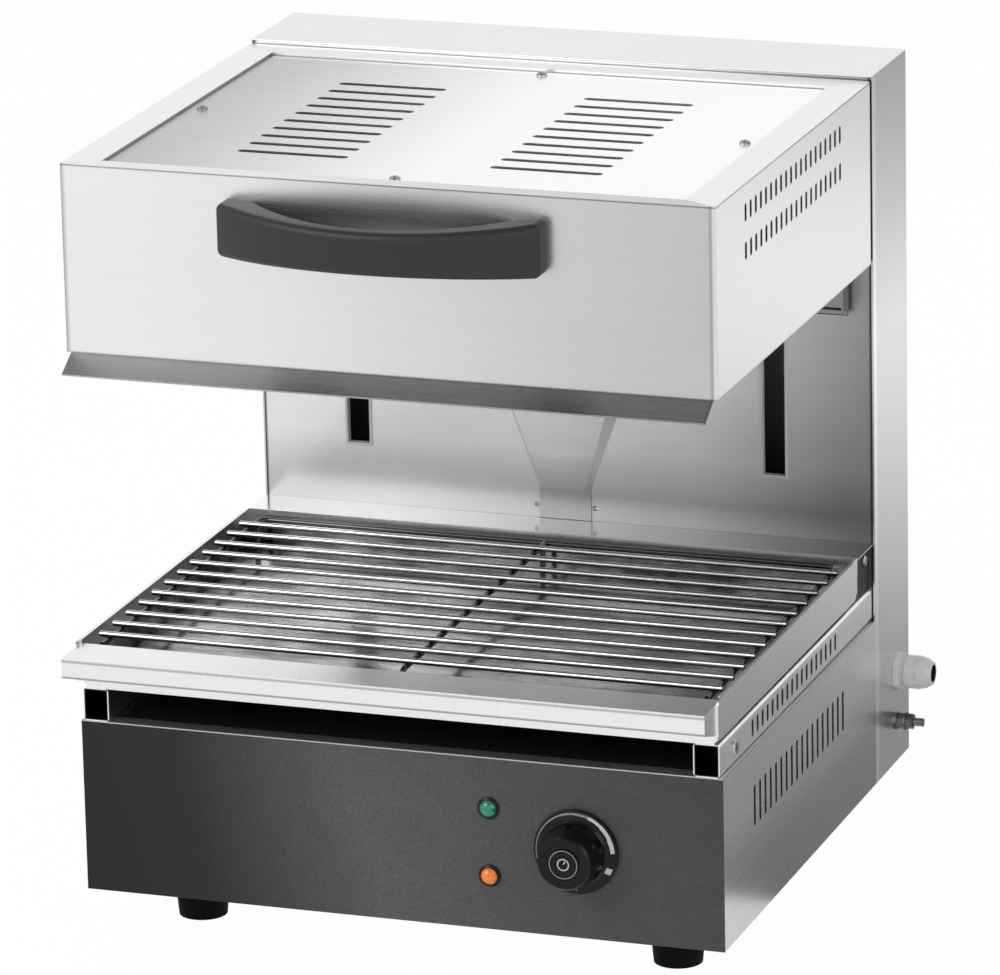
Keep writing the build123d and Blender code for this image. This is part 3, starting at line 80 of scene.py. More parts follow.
# How the eased copies are made.
FOLD_ANGLE = math.radians(32)  # sharper edges are eased
FLAT_ANGLE = math.radians(0.6)  # flatter edges are dissolved
SAME_POINT = 1e-6  # corners closer than this are merged
EASE_SEGMENTS = 2


# ---- shader maths --------------------------------------------------------------------------------
class Signal:
    """A node socket that takes part in Python arithmetic; each operator adds a Math node."""

    def __init__(self, shader: "Shader", socket: bpy.types.NodeSocket) -> None:
        """Wraps one output socket of a shader's tree."""
        self.shader = shader
        self.socket = socket

    def __add__(self, other: "Term") -> "Signal":
        """Sum."""
        return self.shader.maths("ADD", self, other)

    __radd__ = __add__

    def __sub__(self, other: "Term") -> "Signal":
        """Difference."""
        return self.shader.maths("SUBTRACT", self, other)

    def __rsub__(self, other: "Term") -> "Signal":
        """Difference from a number."""
        return self.shader.maths("SUBTRACT", other, self)

    def __mul__(self, other: "Term") -> "Signal":
        """Product."""
        return self.shader.maths("MULTIPLY", self, other)

    __rmul__ = __mul__

    def __truediv__(self, other: "Term") -> "Signal":
        """Quotient."""
        return self.shader.maths("DIVIDE", self, other)

    def over(self, limit: "Term") -> "Signal":
        """1 where this is above the limit, else 0."""
        return self.shader.maths("GREATER_THAN", self, limit)

    def larger(self, other: "Term") -> "Signal":
        """The larger of the two."""
        return self.shader.maths("MAXIMUM", self, other)

    def absolute(self) -> "Signal":
        """Size without its sign."""
        return self.shader.maths("ABSOLUTE", self)

    def centred(self) -> "Signal":
        """A value from 0 to 1 moved to lie about 0."""
        return self - 0.5

    def between(self, low: float, high: float) -> "Signal":
        """Smooth step from 0 at low to 1 at high."""
        done = self.shader.node(
            "ShaderNodeMapRange",
            {"interpolation_type": "SMOOTHSTEP"},
            {"Value": self, "From Min": low, "From Max": high},
        )
        return self.shader.signal(done, "Result")


class Axis(Enum):
    """A direction in the object's own frame."""

    X = 0
    Y = 1
    Z = 2


Term = Union[Signal, float]
Pair = tuple[float, float]
Triple = tuple[float, float, float]
Stops = tuple[Pair, ...]
Shades = tuple[tuple[Axis, Stops], ...]


@dataclass(frozen=True)
class Noise:
    """How a noise is drawn: blobs per metre, octaves, and the share of each finer octave."""

    scale: float = 1.0
    octaves: float = 2.0
    rough: float = 0.5


class Shader:
    """The node tree of a material or of the world, built call by call."""

    def __init__(self, owner: Union[bpy.types.Material, bpy.types.World]) -> None:
        """Empties the owner's node tree.

        Args:
            owner: The material or world that the nodes belong to.
        """
        owner.use_nodes = True
        self.tree = owner.node_tree
        self.tree.nodes.clear()

    def node(
        self,
        kind: str,
        settings: Optional[dict[str, Any]] = None,
        inputs: Optional[dict[Union[str, int], Any]] = None,
    ) -> bpy.types.Node:
        """Adds a node, sets it up and fills its sockets.

        Args:
            kind: The node's type name.
            settings: Its properties; "stops" gives a ramp's (place, grey) pairs.
            inputs: A value or a signal for each socket, by name or number.

        Returns:
            The new node.
        """
        made = self.tree.nodes.new(kind)
        for key, value in (settings or {}).items():
            if key == "stops":
                self._set_stops(made.color_ramp, value)
            else:
                setattr(made, key, value)
        for key, value in (inputs or {}).items():
            if isinstance(value, Signal):
                self.tree.links.new(value.socket, made.inputs[key])
            else:
                made.inputs[key].default_value = value
        return made

    @staticmethod
    def _set_stops(ramp: bpy.types.ColorRamp, stops: Sequence[Pair]) -> None:
        """Gives a ramp its stops.

        Args:
            ramp: The ramp to fill, which starts with two stops.
            stops: Pairs of place and grey level.
        """
        while len(ramp.elements) < len(stops):
            ramp.elements.new(1.0)
        for element, (place, grey) in zip(ramp.elements, stops):
            element.position = place
            element.color = (grey, grey, grey, 1.0)

    def signal(self, node: bpy.types.Node, output: Union[str, int] = 0) -> Signal:
        """One output of a node as a signal."""
        return Signal(self, node.outputs[output])

    def maths(self, operation: str, *terms: Term) -> Signal:
        """Adds one Math node on numbers or signals."""
        values = dict(enumerate(terms))
        return self.signal(self.node("ShaderNodeMath", {"operation": operation}, values))

    def point(self) -> Signal:
        """The place on the piece, in metres in the object's own frame."""
        return self.signal(self.node("ShaderNodeTexCoord"), "Object")

    def shaded(self, at: Signal, painted_shading: Shades) -> Term:
        """How much brightness is left at a place under painted shade and painted highlights.

        Args:
            at: The place.
            painted_shading: Pairs of an axis and the stops along it.

        Returns:
            The product of the painted levels, or 1 when there are none.
        """
        kept: Term = 1.0
        for axis, stops in painted_shading:
            kept = self.ramp(self.parts_of(at)[axis.value], stops) * kept
        return kept

    def parts_of(self, vector: Signal) -> tuple[Signal, Signal, Signal]:
        """The x, y and z of a vector."""
        split = self.node("ShaderNodeSeparateXYZ", None, {"Vector": vector})
        return self.signal(split, 0), self.signal(split, 1), self.signal(split, 2)

    def stretched(self, vector: Signal, factors: Triple) -> Signal:
        """A vector with its three parts multiplied."""
        values = {0: vector, 1: factors}
        return self.signal(self.node("ShaderNodeVectorMath", {"operation": "MULTIPLY"}, values))

    def noise(self, vector: Signal, kind: Noise) -> Signal:
        """Soft noise from 0 to 1.

        Args:
            vector: Where it is read.
            kind: How it is drawn.

        Returns:
            The noise value.
        """
        inputs = {
            "Vector": vector,
            "Scale": kind.scale,
            "Detail": kind.octaves,
            "Roughness": kind.rough,
        }
        return self.signal(self.node("ShaderNodeTexNoise", None, inputs), 0)

    def cells(self, vector: Signal, scale: float) -> Signal:
        """Distance to the nearest point of a scattered set."""
        inputs = {"Vector": vector, "Scale": scale}
        return self.signal(self.node("ShaderNodeTexVoronoi", None, inputs), 0)

    def ramp(self, value: Signal, stops: Stops) -> Signal:
        """A level that follows a value through set stops.

        Args:
            value: What is followed, usually one part of the place.
            stops: Pairs of place, as a value, and grey level, from the lowest place up.

        Returns:
            The level.
        """
        low, high = stops[0][0], stops[-1][0]
        places = [((place - low) / (high - low), grey) for place, grey in stops]
        share = (value - low) / (high - low)
        return self.signal(self.node("ShaderNodeValToRGB", {"stops": places}, {"Fac": share}))

    def colour(self, level: Term, tint: Triple = (1.0, 1.0, 1.0)) -> Signal:
        """A tinted grey from a level."""
        made = self.node("ShaderNodeCombineColor", None, {i: level * tint[i] for i in range(3)})
        return self.signal(made)

    def blend(self, factor: Term, first: Any, second: Any) -> Signal:
        """Mixes two colours.

        Args:
            factor: 0 gives the first, 1 the second.
            first: A colour or a signal.
            second: A colour or a signal.

        Returns:
            The mixed colour.
        """
        values = {0: factor, 6: self._four(first), 7: self._four(second)}
        return self.signal(self.node("ShaderNodeMix", {"data_type": "RGBA"}, values), 2)

    @staticmethod
    def _four(colour: Any) -> Any:
        """A colour with its alpha, or a signal as it is."""
        return colour if isinstance(colour, Signal) else (*colour, 1.0)

    def bump(self, height: Signal, distance: float, strength: float) -> Signal:
        """A normal roughened by a height.

        Args:
            height: 0 to 1.
            distance: The depth of a full step, in metres.
            strength: Share of the effect.

        Returns:
            The normal.
        """
        inputs = {"Height": height, "Distance": distance, "Strength": strength}
        return self.signal(self.node("ShaderNodeBump", None, inputs))

    def surface(self, **inputs: Any) -> None:
        """Adds the main surface shader and joins it to the output.

        Args:
            **inputs: Socket values, with underscores for the spaces in their names.
        """
        named = {key.replace("_", " "): value for key, value in inputs.items()}
        self.finish(self.signal(self.node("ShaderNodeBsdfPrincipled", None, named)))

    def glow(self, colour: Any) -> Signal:
        """An emission of a colour as it is."""
        inputs = {"Color": self._four(colour), "Strength": 1.0}
        return self.signal(self.node("ShaderNodeEmission", None, inputs))

    def finish(self, shader: Signal) -> None:
        """Joins a shader to a new output node of the owner."""
        owner = "World" if self.tree.id_data.id_type == "WORLD" else "Material"
        self.node("ShaderNodeOutput" + owner, None, {0: shader})


# ---- finishes ------------------------------------------------------------------------------------
class Grain(Enum):
    """The way in which sheet is brushed."""

    ALONG_X = 0
    ALONG_Y = 1
    ALONG_Z = 2

    def scales(self, along: float, across: float) -> Triple:
        """Scale factors that draw a pattern out along the grain."""
        factors = [across, across, across]
        factors[self.value] = along
        return tuple(factors)


class Finish:
    """Something that a piece can be dressed in."""

    name: str

    def paint(self, shader: Shader) -> None:
        """Fills the material's node tree."""
        raise NotImplementedError

    def material(self) -> bpy.types.Material:
        """The material, made once and shared."""
        made = bpy.data.materials.get(self.name)
        if made is None:
            made = bpy.data.materials.new(self.name)
            self.paint(Shader(made))
        return made


@dataclass(frozen=True)
class BrushedSteel(Finish):
    """Stainless sheet with a brushed grain."""

    name: str
    tone: float = 0.62
    grain: Grain = Grain.ALONG_X
    roughness: float = 0.3
    streaks: float = 0.10
    clouds: float = 0.06
    relief: float = 0.3
    # Painted shade, painted highlights and painted reflection, as stops along the axes.
    painted_shading: Shades = ()
    speckle: float = 0.0
    fine: Noise = Noise(rough=0.6)
    fine_scales: Pair = (9, 1500)
    fine_share: float = 0.6
    broad: Noise = Noise()
    broad_scales: Pair = (3, 260)
    cloud: Noise = Noise(14.0, 3.0)
    grit: Noise = Noise(700.0, 3.0, 0.7)
    streak_gloss: float = 0.12
    cloud_gloss: float = 0.08
    depth: float = 0.04 * MM

    def paint(self, shader: Shader) -> None:
        """Long fine streaks over slow clouds, in tone, gloss and relief."""
        at = shader.point()
        fine_at = shader.stretched(at, self.grain.scales(*self.fine_scales))
        fine = shader.noise(fine_at, self.fine)
        broad_at = shader.stretched(at, self.grain.scales(*self.broad_scales))
        broad = shader.noise(broad_at, self.broad)
        cloud = shader.noise(at, self.cloud).centred()
        streak = (fine * self.fine_share + broad * (1 - self.fine_share)).centred()
        level = self.tone * (1 + streak * self.streaks + cloud * self.clouds)
        # Painted shade and painted reflection from the stops along the axes.
        level = level * self.painted_shade(shader, at)
        if self.speckle:
            grit = shader.noise(at, self.grit).centred()
            level = level * (1 + grit * self.speckle)
        shader.surface(
            Base_Color=shader.colour(level),
            Metallic=1.0,
            Roughness=self.roughness + streak * self.streak_gloss + cloud * self.cloud_gloss,
            Normal=shader.bump(streak, self.depth, self.relief),
        )

    def painted_shade(self, shader: Shader, at: Signal) -> Term:
        """How much of its brightness the sheet keeps under painted shade and painted reflection."""
        return shader.shaded(at, self.painted_shading)


@dataclass(frozen=True)
class DuctSteel(BrushedSteel):
    """Sheet of the duct cover, with painted shade on its left flank."""

    tip: float = 0.2345
    half: float = 16.5 * MM
    spread: float = 0.3126
    # Share of brightness kept under the painted shade on the left flank.
    flank: float = 0.62

    def painted_shade(self, shader: Shader, at: Signal) -> Term:
        """Painted shade on the left flank, which faces away from the light."""
        x, _, z = shader.parts_of(at)
        rise = z - self.tip
        left = (MIDDLE - self.half - rise * self.spread - x).over(0.0) * rise.over(0.0)
        return shader.shaded(at, self.painted_shading) * (1 - left * (1 - self.flank))


@dataclass(frozen=True)
class RailSteel(BrushedSteel):
    """Sheet of a box rail, with painted shade inside the box."""

    across: Pair = (0.20575, 0.22225)
    up: Pair = (0.15675, 0.17825)
    # Share of brightness kept under the painted shade inside the box.
    inner: float = 0.03

    def painted_shade(self, shader: Shader, at: Signal) -> Term:
        """Painted shade inside the box, where little light is left."""
        x, _, z = shader.parts_of(at)
        aside = (x - MIDDLE).absolute()
        wide = (aside - self.across[0]).over(0.0) * (self.across[1] - aside).over(0.0)
        tall = (z - self.up[0]).over(0.0) * (self.up[1] - z).over(0.0)
        return 1 - wide * tall * (1 - self.inner)


@dataclass(frozen=True)
class PanSteel(Finish):
    """Drip tray: a satin, faintly speckled outside and a polished floor whose dark patches are
    partly stains and partly painted reflections.
    """

    name: str
    tone: float = 0.84
    left: float = -0.2370
    right: float = 0.2112
    front: float = -0.1918
    floor: float = 0.1995
    lip_face: float = -0.2240
    # Painted shade on the lip's face: darker at its bottom edge and in a line below its top.
    lip: Stops = (
        (0.1957, 0.40), (0.1968, 0.48), (0.1974, 1.0), (0.2064, 1.0),
        (0.2072, 0.55), (0.2082, 0.62), (0.2088, 1.0), (0.2097, 1.0),
    )
    # Long dark floor patches: partly stains, partly painted dark reflections.
    stain_and_reflection: Noise = Noise(1.0, 4.0, 0.62)
    stain_and_reflection_scales: Triple = (7, 26, 10)
    stain_and_reflection_share: float = 0.75
    stain_and_reflection_span: Pair = (0.40, 0.62)
    blot: Noise = Noise(34.0, 4.0, 0.6)
    grit: Noise = Noise(900.0, 3.0, 0.75)
    floor_tones: Pair = (0.14, 0.54)
    floor_gloss: Pair = (0.08, 0.12)
    speckle: float = 0.34
    wall_gloss: Pair = (0.3, 0.2)
    depth: float = 0.03 * MM
    relief: float = 0.5

    def paint(self, shader: Shader) -> None:
        """Long dark floor patches are partly stains, partly painted reflections; speckled walls."""
        at = shader.point()
        x, y, z = shader.parts_of(at)
        across = (self.right - x).over(0.0) * (x - self.left).over(0.0)
        low = across * (y - self.front).over(0.0) * (self.floor - z).over(0.0)
        stain_and_reflection = shader.noise(shader.stretched(at, self.stain_and_reflection_scales), self.stain_and_reflection)
        blot = shader.noise(at, self.blot)
        grit = shader.noise(at, self.grit)
        stain_and_reflection_level = (stain_and_reflection * self.stain_and_reflection_share + blot * (1 - self.stain_and_reflection_share)).between(*self.stain_and_reflection_span)
        # Painted shade lines on the lip's face.
        face = (self.lip_face - y).over(0.0)
        lip_painted_shade = 1 - face * (1 - shader.shaded(at, ((Axis.Z, self.lip),)))
        dark, light = self.floor_tones
        floor = low * (dark + stain_and_reflection_level * light)
        walls = (1 - low) * (1 + grit.centred() * self.speckle)
        floor_rough = low * (self.floor_gloss[0] + blot * self.floor_gloss[1])
        wall_rough = (1 - low) * (self.wall_gloss[0] + grit.centred() * self.wall_gloss[1])
        shader.surface(
            Base_Color=shader.colour(self.tone * ((floor + walls) * lip_painted_shade)),
            Metallic=1.0,
            Roughness=floor_rough + wall_rough,
            Normal=shader.bump(grit, self.depth, self.relief),
        )


@dataclass(frozen=True)
class PolishedSteel(Finish):
    """Bright pressed steel with faint smears."""

    name: str
    tone: float = 0.72
    roughness: float = 0.07
    smear: float = 0.12
    smear_from: float = 0.35
    uneven: float = 0.08
    patch: Noise = Noise(22.0, 4.0, 0.6)
    rub: Noise = Noise()
    rub_scales: Triple = (30, 900, 900)
    rub_gloss: float = 0.03
    depth: float = 0.02 * MM
    relief: float = 0.4

    def paint(self, shader: Shader) -> None:
        """Smears dull the polish in patches, and fine rubbing marks cross it."""
        at = shader.point()
        patch = shader.noise(at, self.patch)
        rub = shader.noise(shader.stretched(at, self.rub_scales), self.rub)
        smears = (patch - self.smear_from).larger(0.0) * self.smear
        shader.surface(
            Base_Color=shader.colour(self.tone * (1 + patch.centred() * self.uneven)),
            Metallic=1.0,
            Roughness=self.roughness + smears + rub * self.rub_gloss,
            Normal=shader.bump(rub, self.depth, self.relief),
        )


@dataclass(frozen=True)
class Plating(Finish):
    """Plated or ground wire, screws and shafts."""

    name: str
    tone: float = 0.7
    roughness: float = 0.16
    tint: Triple = (1.0, 1.0, 1.0)
    spread: float = 0.2
    # Painted shade, as stops along the axes.
    painted_shading: Shades = ()
    patch: Noise = Noise(160.0, 3.0, 0.6)
    gloss: float = 0.12
    depth: float = 0.05 * MM
    relief: float = 0.4

    def paint(self, shader: Shader) -> None:
        """Small uneven patches in tone and gloss."""
        at = shader.point()
        patch = shader.noise(at, self.patch)
        # Painted shade along the axes, where the finish gives it.
        level = self.tone * (1 + patch.centred() * self.spread) * shader.shaded(at, self.painted_shading)
        shader.surface(
            Base_Color=shader.colour(level, self.tint),
            Metallic=1.0,
            Roughness=self.roughness + patch.centred() * self.gloss,
            Normal=shader.bump(patch, self.depth, self.relief),
        )


@dataclass(frozen=True)
class DarkCoat(Finish):
    """Satin charcoal coat of the front panel with a fine mottle, painted shade across its width,
    and a band of bright metal along its top fold that is a painted highlight.
    """

    name: str
    # Painted shade and light across the panel's width, as stops; darkest at the left.
    shade: Stops = (
        (-0.24, 0.004), (-0.16, 0.010), (-0.10, 0.046), (-0.04, 0.082),
        (0.08, 0.062), (0.24, 0.040),
    )
    half_height: float = 0.1
    lean: float = 0.25
    # Painted highlight along the top fold: bright metal above this height.
    edge: float = 0.1552
    edge_tone: float = 0.5
    edge_metal: float = 0.9
    speck: Noise = Noise(520.0, 2.0, 0.75)
    speck_tone: float = 1.1
    blot: Noise = Noise(60.0, 3.0)
    blot_tone: float = 0.2
    roughness: float = 0.44
    speck_gloss: float = 0.2
    depth: float = 0.08 * MM
    relief: float = 0.5
    specular: float = 0.35

    def paint(self, shader: Shader) -> None:
        """Painted shade follows the width of the panel; the tone breaks into small specks."""
        at = shader.point()
        x, _, z = shader.parts_of(at)
        speck = shader.noise(at, self.speck)
        blot = shader.noise(at, self.blot)
        # Painted shade across the panel, leaning with height.
        base = shader.ramp(x + (z - self.half_height) * self.lean, self.shade)
        # Painted highlight: bright metal along the top fold.
        painted_fold_highlight = (z - self.edge).over(0.0)
        mottle = 1 + speck.centred() * self.speck_tone + blot.centred() * self.blot_tone
        shader.surface(
            Base_Color=shader.colour(base * mottle * (1 - painted_fold_highlight) + painted_fold_highlight * self.edge_tone),
            Metallic=painted_fold_highlight * self.edge_metal,
            Roughness=self.roughness + speck.centred() * self.speck_gloss,
            Normal=shader.bump(speck, self.depth, self.relief),
            Specular_IOR_Level=self.specular,
        )


@dataclass(frozen=True)
class Moulded(Finish):
    """Moulded plastic or rubber with a fine grain."""

    name: str
    base: Triple
    roughness: float = 0.5
    grain: float = 900.0
    depth: float = 0.05 * MM
    specular: float = 0.5
    relief: float = 0.5
    octaves: float = 2.0
    fineness: float = 0.6
    wear: Noise = Noise(40.0, 3.0)
    grain_tone: float = 0.12
    wear_tone: float = 0.2
    grain_gloss: float = 0.05
    wear_gloss: float = 0.12

    def paint(self, shader: Shader) -> None:
        """A fine spark-eroded grain and slow changes of tone from handling."""
        at = shader.point()
        grit = shader.noise(at, Noise(self.grain, self.octaves, self.fineness))
        wear = shader.noise(at, self.wear)
        tone = 1 + grit.centred() * self.grain_tone + wear.centred() * self.wear_tone
        gloss = wear.centred() * self.wear_gloss + grit.centred() * self.grain_gloss
        shader.surface(
            Base_Color=shader.colour(tone * self.painted_shade(shader, at), self.base),
            Roughness=self.roughness + gloss,
            Normal=shader.bump(grit, self.depth, self.relief),
            Specular_IOR_Level=self.specular,
        )

    def painted_shade(self, shader: Shader, at: Signal) -> Term:
        """How much of its brightness the plastic keeps under painted shade; none by default."""
        return 1.0


@dataclass(frozen=True)
class GlandPlastic(Moulded):
    """Pale plastic of the cable gland, with painted shade in its bore."""

    axis: Pair = (0.21105, 0.1025)
    bore: float = 6.35 * MM
    # Share of brightness kept under the painted shade in the bore.
    inner: float = 0.02

    def painted_shade(self, shader: Shader, at: Signal) -> Term:
        """Painted shade inside the bore, where little light is left."""
        _, y, z = shader.parts_of(at)
        aside, up = y - self.axis[0], z - self.axis[1]
        outside = (shader.maths("SQRT", aside * aside + up * up) - self.bore).over(0.0)
        return outside * (1 - self.inner) + self.inner


@dataclass(frozen=True)
class Jewel(Finish):
    """Clear coloured cap of a pilot lamp, lit from within where it is thin."""

    name: str
    base: Triple
    glow: float = 0.12
    facets: float = 520.0
    # Painted highlight spots: the base share and the share that follows the facets.
    tones: Pair = (0.75, 0.5)
    roughness: float = 0.08
    depth: float = 0.3 * MM
    relief: float = 0.3
    coat: float = 0.4
    coat_roughness: float = 0.04

    def paint(self, shader: Shader) -> None:
        """Facet spots, brighter and darker, are painted highlights of the light the facets bend."""
        facet = shader.cells(shader.point(), self.facets)
        tone = shader.colour(self.tones[0] + facet * self.tones[1], self.base)
        shader.surface(
            Base_Color=tone,
            Roughness=self.roughness,
            Normal=shader.bump(facet, self.depth, self.relief),
            Emission_Color=tone,
            Emission_Strength=self.glow,
            Coat_Weight=self.coat,
            Coat_Roughness=self.coat_roughness,
        )


@dataclass(frozen=True)
class MineralWool(Finish):
    """Felted fibre blanket."""

    name: str
    base: Triple = (0.62, 0.56, 0.42)
    fibre: Noise = Noise(1.0, 5.0, 0.7)
    fibre_scales: Triple = (90, 500, 300)
    tones: Pair = (0.7, 0.6)
    roughness: float = 0.95
    depth: float = 1.0 * MM
    relief: float = 0.8

    def paint(self, shader: Shader) -> None:
        """Tangled fibres in tone and relief."""
        fibre = shader.noise(shader.stretched(shader.point(), self.fibre_scales), self.fibre)
        shader.surface(
            Base_Color=shader.colour(self.tones[0] + fibre * self.tones[1], self.base),
            Roughness=self.roughness,
            Normal=shader.bump(fibre, self.depth, self.relief),
        )


@dataclass(frozen=True)
class Oxidised(Finish):
    """Heater sheath darkened by heat."""

    name: str
    dark: Triple = (0.06, 0.055, 0.05)
    pale: Triple = (0.26, 0.23, 0.2)
    metal: float = 0.6
    roughness: float = 0.5
    gloss: float = 0.3
    scale: Noise = Noise(130.0, 4.0, 0.6)
    depth: float = 0.1 * MM
    relief: float = 0.6

    def paint(self, shader: Shader) -> None:
        """Grey-brown scale with lighter worn spots."""
        scale = shader.noise(shader.point(), self.scale)
        shader.surface(
            Base_Color=shader.blend(scale, self.dark, self.pale),
            Metallic=self.metal,
            Roughness=self.roughness + scale.centred() * self.gloss,
            Normal=shader.bump(scale, self.depth, self.relief),
        )


# Painted light on the sheet: painted dark lines along its folds and seams, and slow painted
# reflections across its faces. Each stop is a place along the axis and the share of its
# brightness that the metal keeps there; a share above 1 is a painted highlight.
# Painted dark line along the top fold of the hood's front and sides.
HOOD_TOP_FOLD_SHADE: Stops = (
    (HOOD_HIGH - 1.6 * MM, 1.0),
    (HOOD_HIGH - 0.8 * MM, 0.30),
    (HOOD_HIGH - 0.2 * MM, 0.55),
    (HOOD_HIGH, 0.9),
)
# Painted dark fold lines, painted reflection that fades to the right, and painted shade on the lip.
HOOD_FRONT = BrushedSteel(
    "steel_hood_front", 0.84, Grain.ALONG_X, 0.28, 0.12, 0.05,
    painted_shading=(
        (Axis.X, (
            (LEFT, 0.45), (LEFT + 0.6 * EDGE, 0.5), (LEFT + EDGE, 1.0), (-0.10, 0.95), (0.0, 0.85),
            (0.10, 0.74), (RIGHT - 2 * EDGE, 0.68), (RIGHT - 1.4 * EDGE, 0.30),
            (RIGHT - EDGE, 0.9), (RIGHT, 0.9),
        )),
        (Axis.Z, (
            (HOOD_LOW - 12.0 * MM, 0.50), (HOOD_LOW - 1.5 * MM, 0.56), (HOOD_LOW, 0.40),
            (HOOD_LOW + 1.0 * MM, 1.0), *HOOD_TOP_FOLD_SHADE,
        )),
    ),
)
# Painted dark lines along the bottom and top folds.
HOOD_SIDES = BrushedSteel(
    "steel_hood_sides", 0.86, Grain.ALONG_Y, 0.26, 0.05, 0.04, 0.15,
    painted_shading=((Axis.Z, ((HOOD_LOW, 0.5), (HOOD_LOW + 1.2 * MM, 1.0), *HOOD_TOP_FOLD_SHADE)),),
)
# Painted shadow in the gaps round the cover, and painted reflection that fades to the left.
HOOD_TOP = BrushedSteel(
    "steel_hood_top", 0.92, Grain.ALONG_X, 0.3, 0.03, 0.02, 0.1,
    painted_shading=(
        (Axis.X, (
            (COVER_X[0], 0.10), (COVER_X[0] + 1.0 * MM, 0.10), (COVER_X[0] + 1.4 * MM, 0.48),
            (-0.18, 0.52), (-0.10, 0.72), (0.0, 0.97),
            (COVER_X[1] - 1.6 * MM, 1.0), (COVER_X[1] - 1.2 * MM, 0.12), (COVER_X[1], 0.12),
        )),
        (Axis.Y, (
            (COVER_Y[0], 0.3), (COVER_Y[0] + 0.5 * MM, 0.3), (COVER_Y[0] + 0.8 * MM, 1.0),
            (COVER_Y[1] - 1.7 * MM, 1.0), (COVER_Y[1] - 1.2 * MM, 0.15), (COVER_Y[1], 0.15),
        )),
    ),
)
# Painted shade on the part below the hood's bottom fold.
HOOD_REAR = BrushedSteel(
    "steel_hood_rear", 0.78, Grain.ALONG_X, 0.34, 0.08, 0.06,
    painted_shading=(
        (Axis.Z, ((0.374, 0.36), (HOOD_LOW - 2.0 * MM, 0.36), (HOOD_LOW, 1.0), (HOOD_HIGH, 1.0))),
    ),
)
CAP = BrushedSteel("steel_cap", 0.76, Grain.ALONG_X, 0.3, 0.03, 0.02, 0.1)
# Painted highlight on the front fold, painted shade towards the top, and a painted dark top edge.
COLUMN_SIDES = BrushedSteel(
    "steel_column_sides", 0.80, Grain.ALONG_Z, 0.26, 0.05, 0.04, 0.15,
    painted_shading=(
        (Axis.Y, ((0.158, 0.7), (0.1590, 1.25), (0.1650, 1.25), (0.1680, 1.0), (0.240, 1.0))),
        (Axis.Z, (
            (BASE_LOW, 1.0), (0.36, 1.0), (0.44, 0.74), (COLUMN_TOP - 1.5 * MM, 0.64),
            (COLUMN_TOP - 0.6 * MM, 0.22), (COLUMN_TOP, 0.5),
        )),
    ),
)
# Painted dark fold lines, painted reflection that fades to the right, painted shade low down.
COLUMN_FRONT = BrushedSteel(
    "steel_column_front", 0.92, Grain.ALONG_X, 0.40, 0.04, 0.06, 0.1,
    painted_shading=(
        (Axis.X, (
            (LEFT, 0.04), (LEFT + EDGE, 0.05), (LEFT + 1.4 * EDGE, 0.84), (-0.14, 0.98),
            (-0.02, 1.06), (0.08, 0.92), (0.15, 0.60), (RIGHT - 1.2 * EDGE, 0.38),
            (RIGHT - 0.9 * EDGE, 0.02), (RIGHT, 0.02),
        )),
        (Axis.Z, ((0.200, 0.66), (0.228, 0.70), (0.262, 1.0), (COLUMN_TOP, 1.0))),
    ),
)
# Painted shade low down, and on the left flank.
DUCT = DuctSteel(
    "steel_duct", 0.90, Grain.ALONG_Z, 0.36, 0.05, 0.06, 0.15,
    painted_shading=((Axis.Z, ((0.200, 0.54), (0.232, 0.60), (0.262, 1.0), (0.330, 1.0))),),
)
# Painted shade towards the bottom, and a painted dark line along the top fold.
BASE_SIDES = BrushedSteel(
    "steel_base_sides", 0.86, Grain.ALONG_Y, 0.26, 0.05, 0.04, 0.15,
    painted_shading=(
        (Axis.Z, (
            (BASE_LOW, 0.60), (0.075, 0.66), (0.115, 1.0), (BASE_HIGH - 0.7 * MM, 1.0),
            (BASE_HIGH - 0.4 * MM, 0.45), (BASE_HIGH, 0.45),
        )),
    ),
)
# Painted reflection that fades towards the right.
SHELF = BrushedSteel(
    "steel_shelf", 0.84, Grain.ALONG_X, 0.16, 0.04, 0.05, 0.1,
    painted_shading=((Axis.X, ((LEFT, 1.0), (-0.06, 0.95), (0.08, 0.66), (RIGHT, 0.40))),),
)
REAR = BrushedSteel("steel_rear", 0.66, Grain.ALONG_X, 0.34, 0.08, 0.06)
# Painted shade inside each rail's box.
RAILS = RailSteel("steel_rails", 0.86, Grain.ALONG_Y, 0.34, 0.06, 0.06, 0.2, speckle=0.5)
GALVANISED = BrushedSteel("steel_galvanised", 0.5, Grain.ALONG_Z, 0.38, 0.05, 0.25)
ALUMINIUM = BrushedSteel("aluminium_milled", 0.7, Grain.ALONG_Z, 0.36, 0.08, 0.04)
PAN = PanSteel("steel_pan")
REFLECTOR = PolishedSteel("steel_reflector", 0.78, 0.09, 0.10)
# Painted shade on the wires' undersides and on the lower cross wires.
WIRE = Plating(
    "wire_plated", 0.66, 0.2,
    painted_shading=(
        (Axis.Z, ((0.188, 0.10), (0.2080, 0.16), (0.2095, 0.20), (0.2102, 1.0), (0.212, 1.0))),
    ),
)
SCREWS = Plating("screws_zinc", 0.42, 0.28)
STUD_METAL = Plating("stud_darkened", 0.20, 0.24, (1.0, 0.98, 0.95), 1.4)
SHAFTS = Plating("shafts_ground", 0.62, 0.14)
BRONZE = Plating("bronze_sintered", 0.5, 0.42, (1.0, 0.7, 0.42))
CHARCOAL = DarkCoat("coat_charcoal")
BLACK_COAT = Moulded("coat_black", (0.008, 0.008, 0.008), 0.6, 300.0)
CYLINDER_COAT = Moulded("coat_cylinder", (0.015, 0.015, 0.015), 0.32, 300.0)
HANDLE_PLASTIC = Moulded("plastic_handle", (0.017, 0.017, 0.0175), 0.46, 1200.0, specular=0.4)
KNOB_PLASTIC = Moulded(
    "plastic_knob", (0.003, 0.003, 0.0032), 0.24, 1500.0, 0.02 * MM, specular=0.2
)
